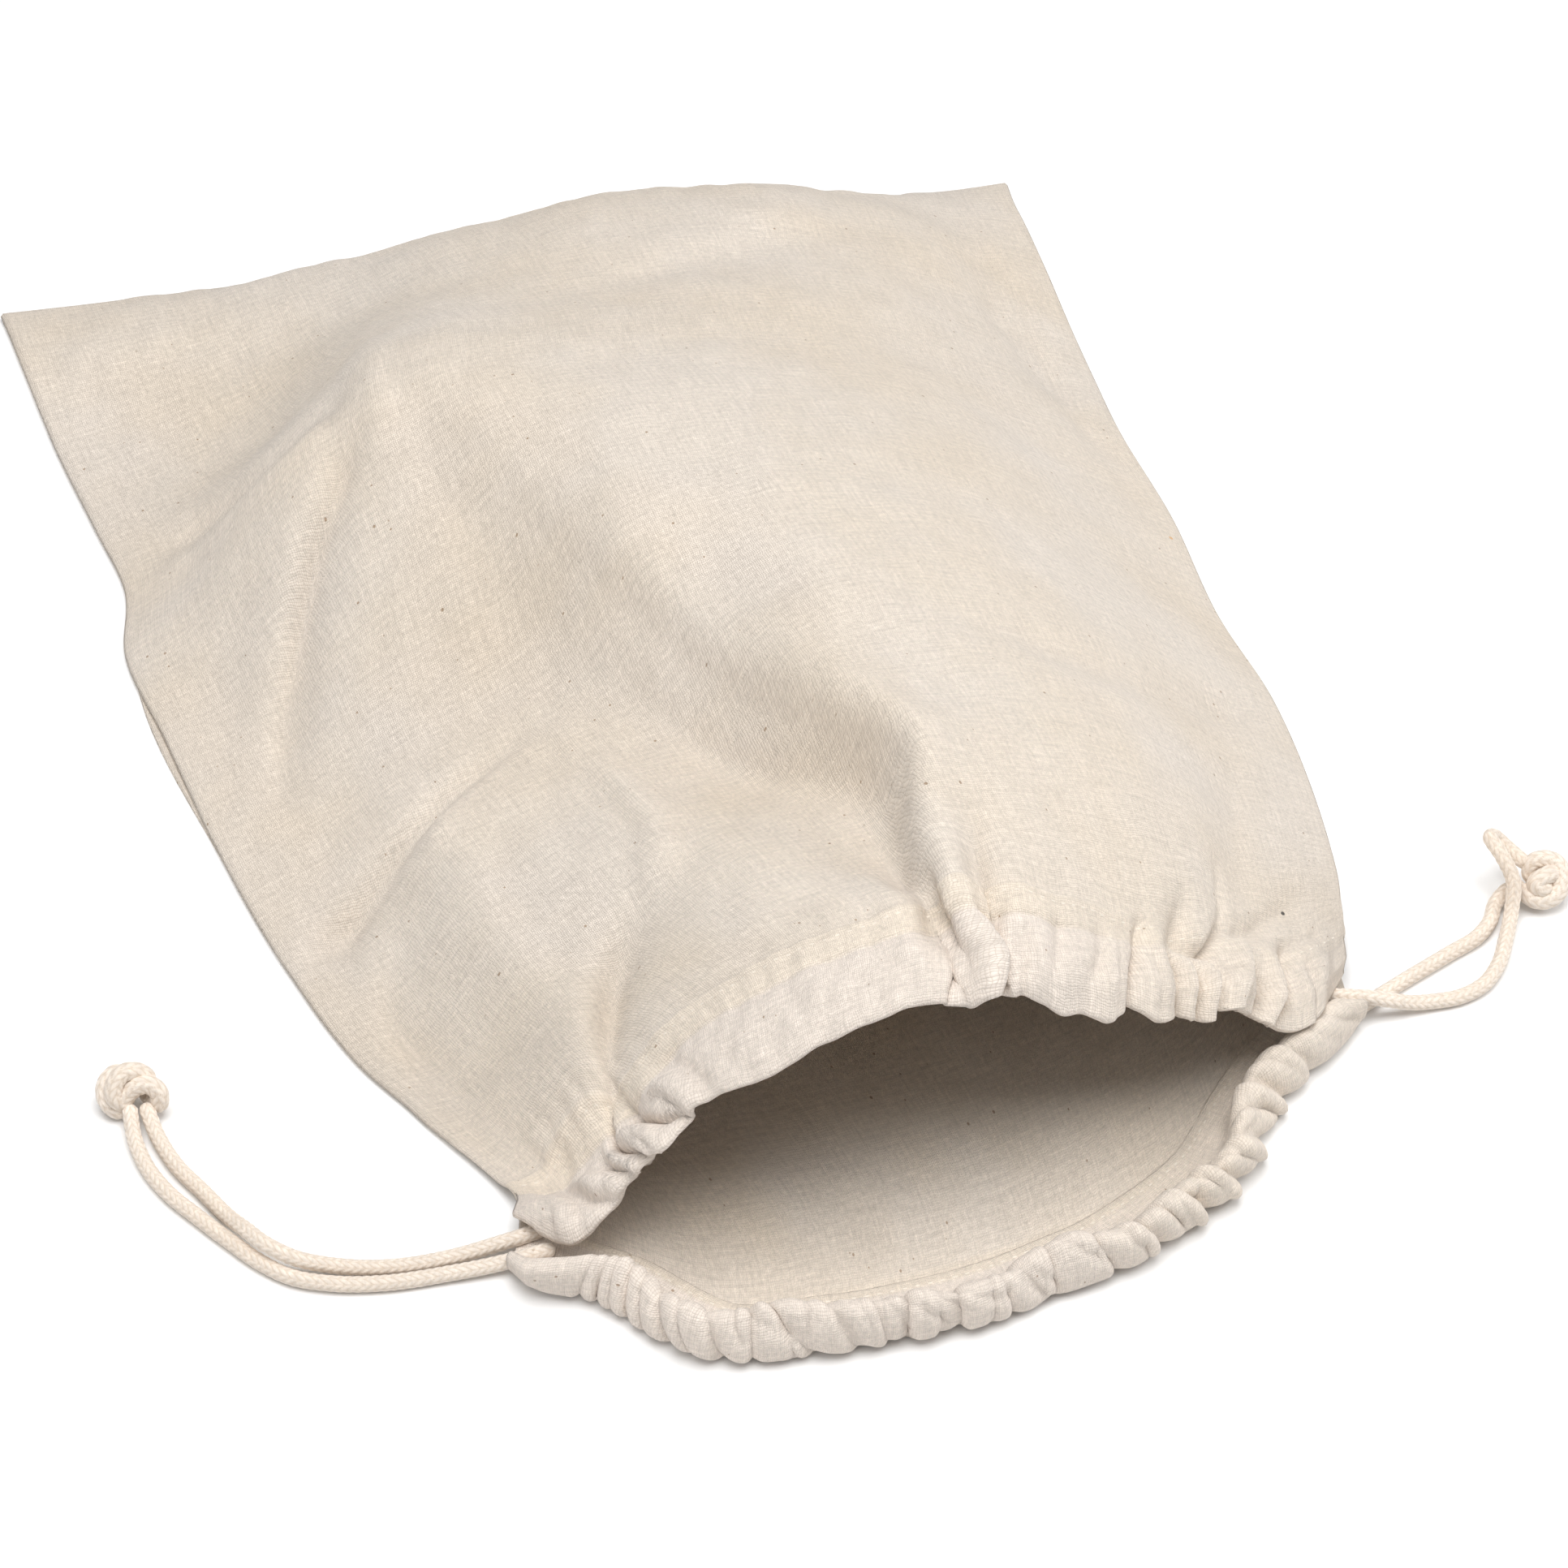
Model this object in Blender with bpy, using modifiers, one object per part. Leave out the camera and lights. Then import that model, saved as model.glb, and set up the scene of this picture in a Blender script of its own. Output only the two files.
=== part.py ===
"""Drawstring bread bag of undyed plain-weave cloth, lying on its back with the mouth drawn open.

Two panels are sewn together along both sides and the far end. Each panel's mouth edge is turned
down into a casing, and two drawcords run through both casings. Each cord leaves at one side as two
strands whose ends are tied together in one knot. The bag keeps the shape that a round loaf gives it.

X runs across the bag, Y from the mouth to the far end, Z up from the surface that the bag lies on.
Tables are in millimetres, and everything that reaches Blender is in metres.
"""

import math

import bmesh
import bpy
import numpy as np

MM = 0.001

# Driving dimensions, in millimetres.
CLOTH = 1.2  # thickness of one panel's solid
GAP = 0.3  # room between two pieces that touch
CASING_DEPTH = 28.0  # from the mouth's edge to the casing's seam
CASING_THICK = 4.6  # casing with the cord inside it
CASING_LIP = 2.2  # turned edge of the casing at the mouth
WALL_HEIGHT = 14.0  # how high the back panel's casing stands off the surface
CORD_DIAMETER = 4.0
CORD_STEP = 6.0  # between two points of a cord's tube
KNOT_RADIUS = 6.4
ORIGIN_X, ORIGIN_Y = -8.2, 30.7  # middle of the bag's outline, which becomes the origin
COLUMNS = 56  # faces across each panel
FRONT_CASING_ROWS, FRONT_BODY_ROWS = 5, 23
BACK_BODY_ROWS = 6

# Places across a panel, as a share of its width from the left side seam, in the order that the
# heights of FRONT_SECTIONS are given.
STATIONS = (0.0, 0.07, 0.16, 0.30, 0.42, 0.52, 0.64, 0.78, 0.90, 1.0)

# Cross-sections of the front panel's underside, from the mouth's edge to the far seam.
# Columns: left seam x and y, right seam x and y, y at the middle, then the heights at STATIONS.
FRONT_SECTIONS = (
    (-112, -131, 112, -116, -152, 7, 13, 47, 71, 77, 74, 63, 41, 17, 7),
    (-109, -118, 119, -98, -124, 3.5, 11, 46, 74, 80, 82, 74, 53, 20, 4),
    (-122, -88, 126, -78, -95, 1.5, 14, 37, 66, 75, 84, 81, 58, 23, 1.5),
    (-134, -60, 131.5, -47, -58, 1.5, 13, 37, 56, 65, 84, 82, 59, 25, 1.5),
    (-143, -22, 134.5, -12, -18, 1.5, 10, 31, 46, 63, 86, 81, 57, 26, 1.5),
    (-149, 20, 132.5, 25, 25, 1.5, 8, 22, 43, 79, 85, 78, 56, 26, 1.5),
    (-153, 68, 135, 68, 70, 1.5, 9, 36, 64, 81, 79, 70, 50, 22, 1.5),
    (-155.5, 101, 134, 103, 104, 1.5, 14, 46, 73, 74, 70, 61, 43, 20, 1.5),
    (-150, 128, 135, 126, 135, 1.5, 8, 35, 64, 62, 59, 53, 39, 18, 1.5),
    (-152.5, 155, 136.5, 150, 160, 1.5, 4, 13, 47, 50, 50, 46, 35, 17, 1.5),
    (-156, 195, 139, 180, 192, 1.5, 4, 9, 24, 36, 38, 37, 31, 15, 1.5),
    (-157.5, 235, 140.5, 203, 216, 1.5, 4, 8, 17, 24, 27, 28, 24, 11, 1.5),
    (-158, 247, 141, 214, 229, 1.5, 3, 5, 11, 15, 17, 18, 15, 7, 1.5),
    (-158.5, 254, 142, 221, 236, 1.5, 1.5, 1.5, 3, 4, 5, 5, 3.5, 2, 1.5),
)

# Main folds of the front panel. Columns: width left and right of its run, then the places that it
# runs through, each with x, y and rise (below zero for a trough).
FRONT_FOLDS = (
    (5, 7, (-74, 160, 1), (-77, 130, 4), (-84, 99, 2)),  # ridge down the loaf's back shoulder
    (6, 4, (-84, 154, -1), (-86, 122, -5), (-92, 97, -4)),  # trough along that ridge's outer side
    (8, 5, (-92, 97, -4), (-110, 74, -8), (-128, 30, -2)),  # trough falling on to the left seam
    # Long valley across the loaf to the mouth, and the crest beside it.
    (8, 16, (-74, 88, -3), (-45, 8, -4), (-18, -40, -6), (-4, -74, -9), (-7, -98, -7), (-6, -120, 0)),
    (14, 6, (-62, 84, 1), (-18, 2, 3), (4, -58, 5), (12, -76, 6), (5, -102, 4), (2, -126, 2)),
    (3, 5, (2, -104, -2), (-1, -118, -9), (-3, -150, -7)),  # pleat where that valley meets the mouth
    (4, 4, (7, -112, 0), (4, -124, 4), (3, -150, 5)),  # puffed ridge right of the pleat
    (4, 4, (13, -104, -1), (9, -124, -6), (6, -150, -6)),  # second pleat
    (12, 8, (28, -80, 1), (22, -112, 3), (17, -146, 3)),  # swell right of both pleats
    (9, 4, (-66, -8, -1), (-98, -18, -7), (-124, -29, -7), (-142, -40, -2)),  # cross trough, to the seam
    (12, 6, (-112, -34, -3), (-121, -60, -5), (-116, -98, -7), (-107, -120, -4)),  # hollow at the seam
    (6, 5, (-102, -28, 3), (-99, -60, 6), (-84, -104, 5), (-82, -120, 1)),  # ridge down to the gathers
    (8, 5, (-56, -76, -1), (-72, -90, -7), (-80, -108, -9), (-80, -130, -6)),  # trough into them
    (7, 7, (99, -60, -1), (90, -92, -4), (70, -132, -4)),  # soft crease at the right mouth corner
    (9, 6, (118, 196, -1), (115, 150, -4), (128, 76, -2)),  # hollow along the right seam
    (8, 8, (34, -34, -1), (76, -44, -3), (128, -20, -3)),  # light crease right of the crest
    (7, 9, (-10, 150, -1), (30, 160, -2), (84, 182, -2)),  # light crease across the far half
)

# Cross-sections of the back panel, from the far seam to where its casing turns up.
# Columns: left seam x and y, right seam x and y, share of the mouth's forward curve.
BACK_SECTIONS = (
    (-158.5, 254, 142, 221, 0),
    (-154, 170, 137, 160, 0),
    (-150, 126, 135, 108, 0),
    (-156, 92, 135, 80, 0.02),
    (-150, 20, 133, 22, 0.10),
    (-134, -60, 132, -48, 0.35),
    (-108, -118, 117, -98, 0.75),
    (-115, -140, 112, -128, 1),
)
MOUTH_CURVE = (-140, -155, -179, -188, -190, -189, -183, -168, -143, -128)  # its y at STATIONS

# Outside of the standing casing, for a casing of WALL_HEIGHT. Columns: outward, up.
WALL_PROFILE = ((-3, 0), (-0.3, 1.2), (1.4, 4.5), (1.6, 8), (0.8, 11.2), (-1, 14))

# Gathers along the casings. Columns: place across as a share, height of the gathers.
FRONT_GATHERS = (
    (0, 0.2), (0.08, 1.8), (0.2, 1.8), (0.3, 0.6), (0.45, 1.2), (0.6, 1.2), (0.75, 2.2), (0.92, 1.8),
    (1, 0.2),
)
BACK_GATHERS = ((0, 0.2), (0.08, 1.4), (0.2, 1.6), (0.5, 1.4), (0.75, 2.2), (0.92, 1.8), (1, 0.2))
GATHER_COUNT = 13

# Free strands of the two drawcords, each from its casing to its knot. Columns: x, y, z.
LEFT_OVER = (
    (-108, -132.5, 3.8), (-116, -133, 3.6), (-129, -132.8, 2.6), (-145, -130.6, 2.3),
    (-157, -126.8, 3.2), (-165.5, -123.2, 5.2), (-171.3, -118, 6.6), (-174.6, -111, 5.4),
    (-177.4, -103.6, 3), (-181.3, -93.4, 2.3), (-185.6, -83, 2.3), (-188, -72, 2.8), (-188.4, -64.9, 4.5),
)
LEFT_UNDER = (
    (-116.4, -138.9, 3.3), (-130.5, -137.4, 2.4), (-146.5, -135.2, 2.2), (-158.5, -131.4, 2.2),
    (-167, -126.6, 2.2), (-173.4, -119.4, 2.2), (-178.6, -111, 2.2), (-184.4, -100.8, 2.2),
    (-189.6, -91, 2.2), (-192.8, -80.6, 2.2), (-193.6, -72, 2.8), (-192.9, -64.6, 4.5),
)
RIGHT_OVER = (
    (106, -121.8, 6.8), (110.6, -124, 7.2), (115.6, -126.2, 7.4), (121, -127.6, 6), (127, -128.2, 3.7),
    (133.5, -128.6, 2.5), (140, -129, 2.3), (147.6, -127, 2.3), (154, -121.8, 2.3), (159.6, -114, 2.6),
    (164.2, -106.6, 5), (166, -102.4, 10), (164.6, -97.6, 15), (163.6, -91.4, 16.4), (166.4, -88.6, 13.4),
    (169.2, -90.8, 10.6), (171.5, -94.8, 9.3),
)
RIGHT_UNDER = (
    (112.7, -125.3, 3), (119.6, -122.6, 2.2), (129.6, -119, 2.2), (144, -114, 2.2),
    (153, -110.8, 2.2), (158.6, -106.4, 2.2), (162, -101.6, 2.4), (166, -99.6, 4.2), (167.6, -99.8, 5),
)

# Knots. Columns: name, middle x, y and z, turn about Z in degrees.
KNOTS = (("left_knot", -191.3, -58.6, 5.8, -18), ("right_knot", 175.4, -101.4, 5.8, 40))


def along(places, values, at):
    """A smooth curve through values at places, read at the given places. Values may hold columns."""
    places = np.asarray(places, float)
    values = np.asarray(values, float).reshape(len(places), -1)
    step = np.diff(places)[:, None]
    rate = np.diff(values, axis=0) / step
    inner = (rate[:-1] * step[1:] + rate[1:] * step[:-1]) / (step[1:] + step[:-1])
    slope = np.vstack((rate[:1], inner, rate[-1:]))
    i = np.clip(np.searchsorted(places, at) - 1, 0, len(places) - 2)
    t = ((at - places[i]) / step[i, 0])[:, None]
    curve = values[i] * (1 + 2 * t) * (1 - t) ** 2 + values[i + 1] * t * t * (3 - 2 * t)
    return curve + step[i] * (slope[i] * t * (1 - t) ** 2 - slope[i + 1] * t * t * (1 - t))


def fold_rise(x, y, folds):
    """Height that the folds add at each place: soft ridges and troughs, each along its own curve."""
    rise = np.zeros_like(x)
    for left_width, right_width, *places in folds:
        at = np.linspace(0, 1, 6 * len(places))
        route = along(np.linspace(0, 1, len(places)), places, at)
        nearest = np.full_like(x, np.inf)
        height = np.zeros_like(x)
        side = np.zeros_like(x)
        for (x0, y0, rise0), (x1, y1, rise1) in zip(route[:-1], route[1:]):
            run_x, run_y = x1 - x0, y1 - y0
            dx, dy = x - x0, y - y0
            t = np.clip((dx * run_x + dy * run_y) / (run_x**2 + run_y**2), 0, 1)
            apart = np.hypot(dx - t * run_x, dy - t * run_y)
            closer = apart < nearest
            nearest = np.where(closer, apart, nearest)
            height = np.where(closer, rise0 + t * (rise1 - rise0), height)
            side = np.where(closer, run_x * dy - run_y * dx, side)
        width = np.where(side > 0, left_width, right_width)
        rise += height * np.exp(-((nearest / width) ** 2))
    return rise


def gathers(across, heights):
    """Uneven waves that the drawcord makes along a casing."""
    tall = along(*np.array(heights, float).T, across)[:, 0]
    drift = 0.35 * np.sin(2 * np.pi * 2.3 * across) + 0.2 * np.sin(2 * np.pi * 5.1 * across + 1)
    return tall * np.sin(2 * np.pi * (GATHER_COUNT * across + drift))


def front_panel(across, along_it):
    """Underside of the front panel: a grid of points for shares across it and from mouth to far end."""
    sections = np.array(FRONT_SECTIONS, float)
    places = np.concatenate(([0], np.cumsum(np.abs(np.diff(sections[:, 4])))))
    rows = along(places / places[-1], sections, along_it)
    height = along(STATIONS, rows[:, 5:].T, across).T
    left_x, left_y, right_x, right_y, middle_y = (rows[:, k : k + 1] for k in range(5))
    bow = 1 - (2 * across - 1) ** 4
    x = left_x + (right_x - left_x) * across
    y = left_y + (right_y - left_y) * across + (middle_y - (left_y + right_y) / 2) * bow
    from_seam = np.minimum(across, 1 - across) * (right_x - left_x)
    z = height + fold_rise(x, y, FRONT_FOLDS) * np.clip(from_seam / 14, 0, 1)
    from_mouth = along_it[:, None] * places[-1]
    z = z + gathers(across, FRONT_GATHERS) * np.exp(-((from_mouth / CASING_DEPTH) ** 2))
    return np.stack((x, y, np.maximum(z, CLOTH + GAP)), -1)


def back_panel(across, along_it):
    """Underside of the back panel: a grid from the far seam, at 0, to its casing's foot, at 1."""
    sections = np.array(BACK_SECTIONS, float)
    middle = (sections[:, 1] + sections[:, 3]) / 2
    places = np.concatenate(([0], np.cumsum(np.abs(np.diff(middle)))))
    rows = along(places / places[-1], sections, along_it)
    left_x, left_y, right_x, right_y, share = (rows[:, k : k + 1] for k in range(5))
    curve = along(STATIONS, MOUTH_CURVE, across)[:, 0]
    curve = curve - (MOUTH_CURVE[0] + (MOUTH_CURVE[-1] - MOUTH_CURVE[0]) * across)
    x = left_x + (right_x - left_x) * across
    y = left_y + (right_y - left_y) * across + share * curve
    return np.stack((x, y, np.zeros_like(x)), -1)


def end_taper(across):
    """How far the standing casing keeps its full height and thickness near its two ends."""
    from_end = np.minimum(across, 1 - across)
    return 0.35 + 0.65 * np.sin(np.pi / 2 * np.clip(from_end / 0.13, 0, 1))


def back_casing(across):
    """Outside of the back panel's casing, which stands round the mouth: rows from its foot to its lip."""
    foot = back_panel(across, np.array((1.0,)))[0]
    run = np.gradient(foot[:, :2], axis=0)
    run /= np.linalg.norm(run, axis=1)[:, None]
    outward = np.column_stack((run[:, 1], -run[:, 0]))
    wave = gathers(across, BACK_GATHERS)
    rows = []
    for out, up in WALL_PROFILE:
        spread = out + wave * min(1, up / 4)
        lift = up * end_taper(across) + 0.6 * wave * (up / WALL_HEIGHT) ** 2
        rows.append(np.column_stack((foot[:, :2] + outward * spread[:, None], lift)))
    return np.array(rows)


# ---- build


def cloth_material(name, colour, roughness):
    """A dull, undyed textile."""
    material = bpy.data.materials.new(name)
    material.use_nodes = True
    shader = material.node_tree.nodes["Principled BSDF"]
    shader.inputs["Base Color"].default_value = (*colour, 1)
    shader.inputs["Roughness"].default_value = roughness
    shader.inputs["Metallic"].default_value = 0
    return material


def add_object(name, data, material):
    """A named object in the bag's collection, with its material."""
    data.materials.append(material)
    piece = bpy.data.objects.new(name, data)
    bpy.data.collections["bread_bag"].objects.link(piece)
    return piece


def placed(points):
    """Points in millimetres moved to the bag's own origin, in metres."""
    return (np.asarray(points, float) - (ORIGIN_X, ORIGIN_Y, 0)) * MM


def add_panel(name, points, thick, material):
    """A sewn panel: a grid laid over points, thickened upward by the thickness at each of them."""
    rows, columns = points.shape[:2]
    mesh = bpy.data.meshes.new(name)
    grid = bmesh.new()
    bmesh.ops.create_grid(grid, x_segments=columns - 1, y_segments=rows - 1, size=1)
    grid.verts.ensure_lookup_table()
    for vertex, place in zip(grid.verts, placed(points).reshape(-1, 3)):
        vertex.co = place
    grid.to_mesh(mesh)
    grid.free()
    mesh.shade_smooth()
    panel = add_object(name, mesh, material)
    group = panel.vertex_groups.new(name="thickness")
    for index, share in enumerate((thick / CASING_THICK).ravel()):
        group.add([index], share, "REPLACE")
    shell = panel.modifiers.new("cloth", "SOLIDIFY")
    shell.thickness = CASING_THICK * MM
    shell.offset = 1
    shell.vertex_group = group.name
    return panel


def add_front_panel(material):
    """The upper panel, draped over the loaf's shape, from its casing to the far seam."""
    depth = np.abs(np.diff(np.array(FRONT_SECTIONS, float)[:, 4])).sum()
    casing = CASING_DEPTH / depth
    casing_rows = np.linspace(0, casing, FRONT_CASING_ROWS, endpoint=False)
    body_rows = np.linspace(casing, 1, FRONT_BODY_ROWS + 1)
    share = np.linspace(0, 1, FRONT_CASING_ROWS, endpoint=False)
    casing_thick = CLOTH + (CASING_THICK - CLOTH) * np.sin(np.pi * share ** 0.7)
    casing_thick[0] = CASING_LIP
    thick = np.concatenate((casing_thick, np.full(len(body_rows), CLOTH)))
    points = front_panel(np.linspace(0, 1, COLUMNS + 1), np.concatenate((casing_rows, body_rows)))
    return add_panel("front_panel", points, thick[:, None] * np.ones(COLUMNS + 1), material)


def add_back_panel(material):
    """The lower panel, flat on the surface, with its casing standing round the mouth."""
    across = np.linspace(0, 1, COLUMNS + 1)
    body = back_panel(across, np.linspace(0, 0.985, BACK_BODY_ROWS + 1))
    casing = back_casing(across)
    casing_thick = np.maximum(CLOTH, np.outer((CLOTH, 2.4, 4.0, 4.2, 3.6, CASING_LIP), end_taper(across)))
    thick = np.concatenate((np.full(body.shape[:2], CLOTH), casing_thick))
    points = np.concatenate((body, casing))
    return add_panel("back_panel", points[:, ::-1], thick[:, ::-1], material)


def add_strand(name, route, material):
    """One free strand of a drawcord, as a round tube along a smooth curve through its places."""
    route = np.array(route, float)
    places = np.concatenate(([0], np.cumsum(np.linalg.norm(np.diff(route, axis=0), axis=1))))
    count = round(places[-1] / CORD_STEP)
    points = placed(along(places, route, np.linspace(0, places[-1], count + 1)))
    curve = bpy.data.curves.new(name, "CURVE")
    curve.dimensions = "3D"
    curve.bevel_depth = CORD_DIAMETER / 2 * MM
    curve.bevel_resolution = 2
    curve.use_fill_caps = True
    line = curve.splines.new("POLY")
    line.points.add(count)
    for point, place in zip(line.points, points):
        point.co = (*place, 1)
    return add_object(name, curve, material)


def add_knot(name, x, y, z, turn, material):
    """The two strands' ends in one overhand knot: a ball with a soft waist between its two turns."""
    mesh = bpy.data.meshes.new(name)
    ball = bmesh.new()
    bmesh.ops.create_uvsphere(ball, u_segments=20, v_segments=12, radius=KNOT_RADIUS * MM)
    for vertex in ball.verts:
        waist = math.exp(-((vertex.co.x / (0.3 * KNOT_RADIUS * MM)) ** 2))
        vertex.co.x *= 1.2
        vertex.co.y *= 1 - 0.16 * waist
        vertex.co.z *= 0.95 - 0.14 * waist
    ball.to_mesh(mesh)
    ball.free()
    mesh.shade_smooth()
    knot = add_object(name, mesh, material)
    knot.location = placed((x, y, z))
    knot.rotation_euler.z = math.radians(turn)
    return knot


for existing in list(bpy.data.objects):
    bpy.data.objects.remove(existing)
bpy.context.scene.collection.children.link(bpy.data.collections.new("bread_bag"))
cloth = cloth_material("undyed_cloth", (0.76, 0.70, 0.60), 0.92)
cord = cloth_material("undyed_cord", (0.78, 0.70, 0.60), 0.9)
add_front_panel(cloth)
add_back_panel(cloth)
add_strand("left_cord_over", LEFT_OVER, cord)
add_strand("left_cord_under", LEFT_UNDER, cord)
add_strand("right_cord_over", RIGHT_OVER, cord)
add_strand("right_cord_under", RIGHT_UNDER, cord)
for knot_name, *knot_place in KNOTS:
    add_knot(knot_name, *knot_place, cord)
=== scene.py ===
"""Looks of a drawstring bread bag of undyed plain-weave cotton, lying on its back with its mouth open.

The sections follow the bag as it is put together: the surface it lies on and its light, the two drawcords
with their knots, the cloth, the front panel with its casing, the back panel with its casing, and the sewing
thread. Tables are in millimetres in the bag's own lay-out frame, where X runs across the bag, Y from the
mouth to the far end and Z up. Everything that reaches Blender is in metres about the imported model's origin.
"""

import math

import bpy
import numpy as np
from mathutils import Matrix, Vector


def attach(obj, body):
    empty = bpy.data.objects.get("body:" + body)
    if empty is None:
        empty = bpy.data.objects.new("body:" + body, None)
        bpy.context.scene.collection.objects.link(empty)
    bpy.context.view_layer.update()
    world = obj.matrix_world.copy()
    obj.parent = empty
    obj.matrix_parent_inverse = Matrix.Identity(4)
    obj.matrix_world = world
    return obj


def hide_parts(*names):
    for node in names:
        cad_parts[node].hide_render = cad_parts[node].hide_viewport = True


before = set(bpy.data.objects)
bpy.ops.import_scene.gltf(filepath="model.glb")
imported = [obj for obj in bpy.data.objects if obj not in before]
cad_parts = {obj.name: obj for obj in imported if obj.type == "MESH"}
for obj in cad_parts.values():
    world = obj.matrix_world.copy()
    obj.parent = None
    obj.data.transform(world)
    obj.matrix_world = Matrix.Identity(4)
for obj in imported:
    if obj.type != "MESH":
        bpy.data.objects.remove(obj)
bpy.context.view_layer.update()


# ---- Surface, light and camera
# The bag lies on a plain white surface. One large soft light hangs over it, a little towards its mouth, and
# two weaker ones stand at its sides.

MM = 0.001
LAYOUT_ORIGIN = (-8.2, 30.7, 0.0)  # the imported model's origin, in the tables' frame
CAMERA_PLACE, CAMERA_AIM = (-299.1, -920.6, 968.2), (0.0, 0.0, 0.0)
LENS, SENSOR, CAMERA_REACH = 117.5, 36.0, (0.05, 20)
SURFACE_SIZE = 6.0  # side in metres
SURFACE_DROP = 0.1  # how far it lies below the bag, so that no two faces share a plane
SURFACE_COLOUR = (0.96, 0.96, 0.96, 1)
SKY_STRENGTH = 0.16
# Columns: name, place and aim in metres, side in metres, power in watts.
SOFT_LIGHTS = (
    ("overhead", (-0.1, -0.3, 2), (0, 0, 0), 1.5, 42.5),
    ("right_side", (1.3, -0.35, 0.95), (0, 0, 0.03), 0.7, 8.2),
    ("left_side", (-1.3, -0.6, 0.9), (0, 0, 0.03), 0.9, 3.6),
)
SHEEN_ROUGHNESS = 0.6


def placed(points):
    """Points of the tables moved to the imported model's frame, in metres."""
    return (np.asarray(points, float) - LAYOUT_ORIGIN) * MM


def aimed(thing, place, aim):
    """Puts a light or a camera in its place and turns it to what it looks at."""
    thing.location = place
    thing.rotation_euler = (Vector(aim) - Vector(place)).to_track_quat("-Z", "Y").to_euler()
    bpy.context.scene.collection.objects.link(thing)


def new_material(name, roughness, specular=0.5, sheen=0.0):
    """A material with its plain values set. Returns it, its node tree and its shader's inputs."""
    material = bpy.data.materials.new(name)
    material.use_nodes = True
    shader = material.node_tree.nodes["Principled BSDF"].inputs
    shader["Roughness"].default_value = roughness
    shader["Specular IOR Level"].default_value = specular
    if sheen:
        shader["Sheen Weight"].default_value = sheen
        shader["Sheen Roughness"].default_value = SHEEN_ROUGHNESS
    return material, material.node_tree, shader


def add_surface():
    """The plain surface under the bag."""
    half = SURFACE_SIZE / 2
    mesh = bpy.data.meshes.new("surface")
    corners = [(-half, -half, 0), (half, -half, 0), (half, half, 0), (-half, half, 0)]
    mesh.from_pydata(corners, [], [(0, 1, 2, 3)])
    surface = bpy.data.objects.new("surface", mesh)
    surface.location.z = -SURFACE_DROP * MM
    bpy.context.scene.collection.objects.link(surface)
    material, _, shader = new_material("white_surface", roughness=0.9, specular=0.1)
    shader["Base Color"].default_value = SURFACE_COLOUR
    mesh.materials.append(material)


def add_lights():
    """The even sky and the three soft lights."""
    world = bpy.data.worlds.new("sky")
    world.use_nodes = True
    world.node_tree.nodes["Background"].inputs["Color"].default_value = (1, 1, 1, 1)
    world.node_tree.nodes["Background"].inputs["Strength"].default_value = SKY_STRENGTH
    bpy.context.scene.world = world
    for name, place, aim, side, power in SOFT_LIGHTS:
        lamp = bpy.data.lights.new(name, "AREA")
        lamp.size = side
        lamp.energy = power
        aimed(bpy.data.objects.new(name, lamp), place, aim)


def add_camera():
    """The camera, above and in front of the mouth, a little to the left."""
    camera = bpy.data.cameras.new("camera")
    camera.lens = LENS
    camera.sensor_width = SENSOR
    camera.clip_start, camera.clip_end = CAMERA_REACH
    holder = bpy.data.objects.new("camera", camera)
    aimed(holder, placed(CAMERA_PLACE), placed(CAMERA_AIM))
    bpy.context.scene.camera = holder


bpy.context.scene.view_settings.view_transform = "Standard"
add_surface()
add_lights()
add_camera()


# ---- Drawcords
# Two lengths of 4 mm plaited cotton cord run through both casings. Each leaves at one side as two strands,
# which lie on the surface and end together in one overhand knot, pulled tight.

CORD_RADIUS = 2.0
PLAIT_COLUMNS = 8  # columns of slanted stitches round the cord
PLAIT_PITCH = 2.2  # from one V of the plait to the next
PLAIT_RELIEF, PLAIT_MEAN = 0.26, 0.75  # height of the stitches, and the relief at the cord's radius
YARNS, YARN_DEPTH = 3, 0.14  # yarns that lie side by side in a stitch, and the depth between them
GROOVE_FROM, GROOVE_GAIN = 0.72, 1.6  # relief under which painted shade darkens a groove, and how fast it does
CORD_RING, CORD_STEP = 40, 0.3  # points round the cord, and distance from one ring of them to the next
CORD_TONES = ((0.88, 0.79, 0.70, 1), (0.85, 0.74, 0.63, 1))  # clean and warm
# Painted shade in the cord's grooves: the colour towards which the deepest parts between the stitches are
# darkened.
CORD_GROOVE_SHADE = (0.66, 0.54, 0.42, 1)

# Undyed cotton. Sizes are counts for one millimetre, and a pair of shades is the darkest and the lightest.
CLOUDS, STREAKS, GRAIN, HUSKS = 0.016, 1.4, 0.85, 0.21
CLOUD_SPAN, YARN_SPAN = (0.38, 0.66), (0.25, 0.75)  # the part of the noise over which a tone changes
STREAK_WAYS = ((0.9, 0.05), (0.05, 0.9))  # scales across and along the panel, for the yarns of each way
STREAK_SHADES, GRAIN_SHADES = (0.91, 1.06), (0.88, 1.10)
HUSK_SIZES = (0.02, 0.10)  # as a share of the room that each speck has
HUSK_EDGE, HUSK_DEPTH = 0.025, 0.75  # width of a speck's soft edge, and how far it takes its brown
HUSK_BROWN = (0.32, 0.20, 0.11, 1)

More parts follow.
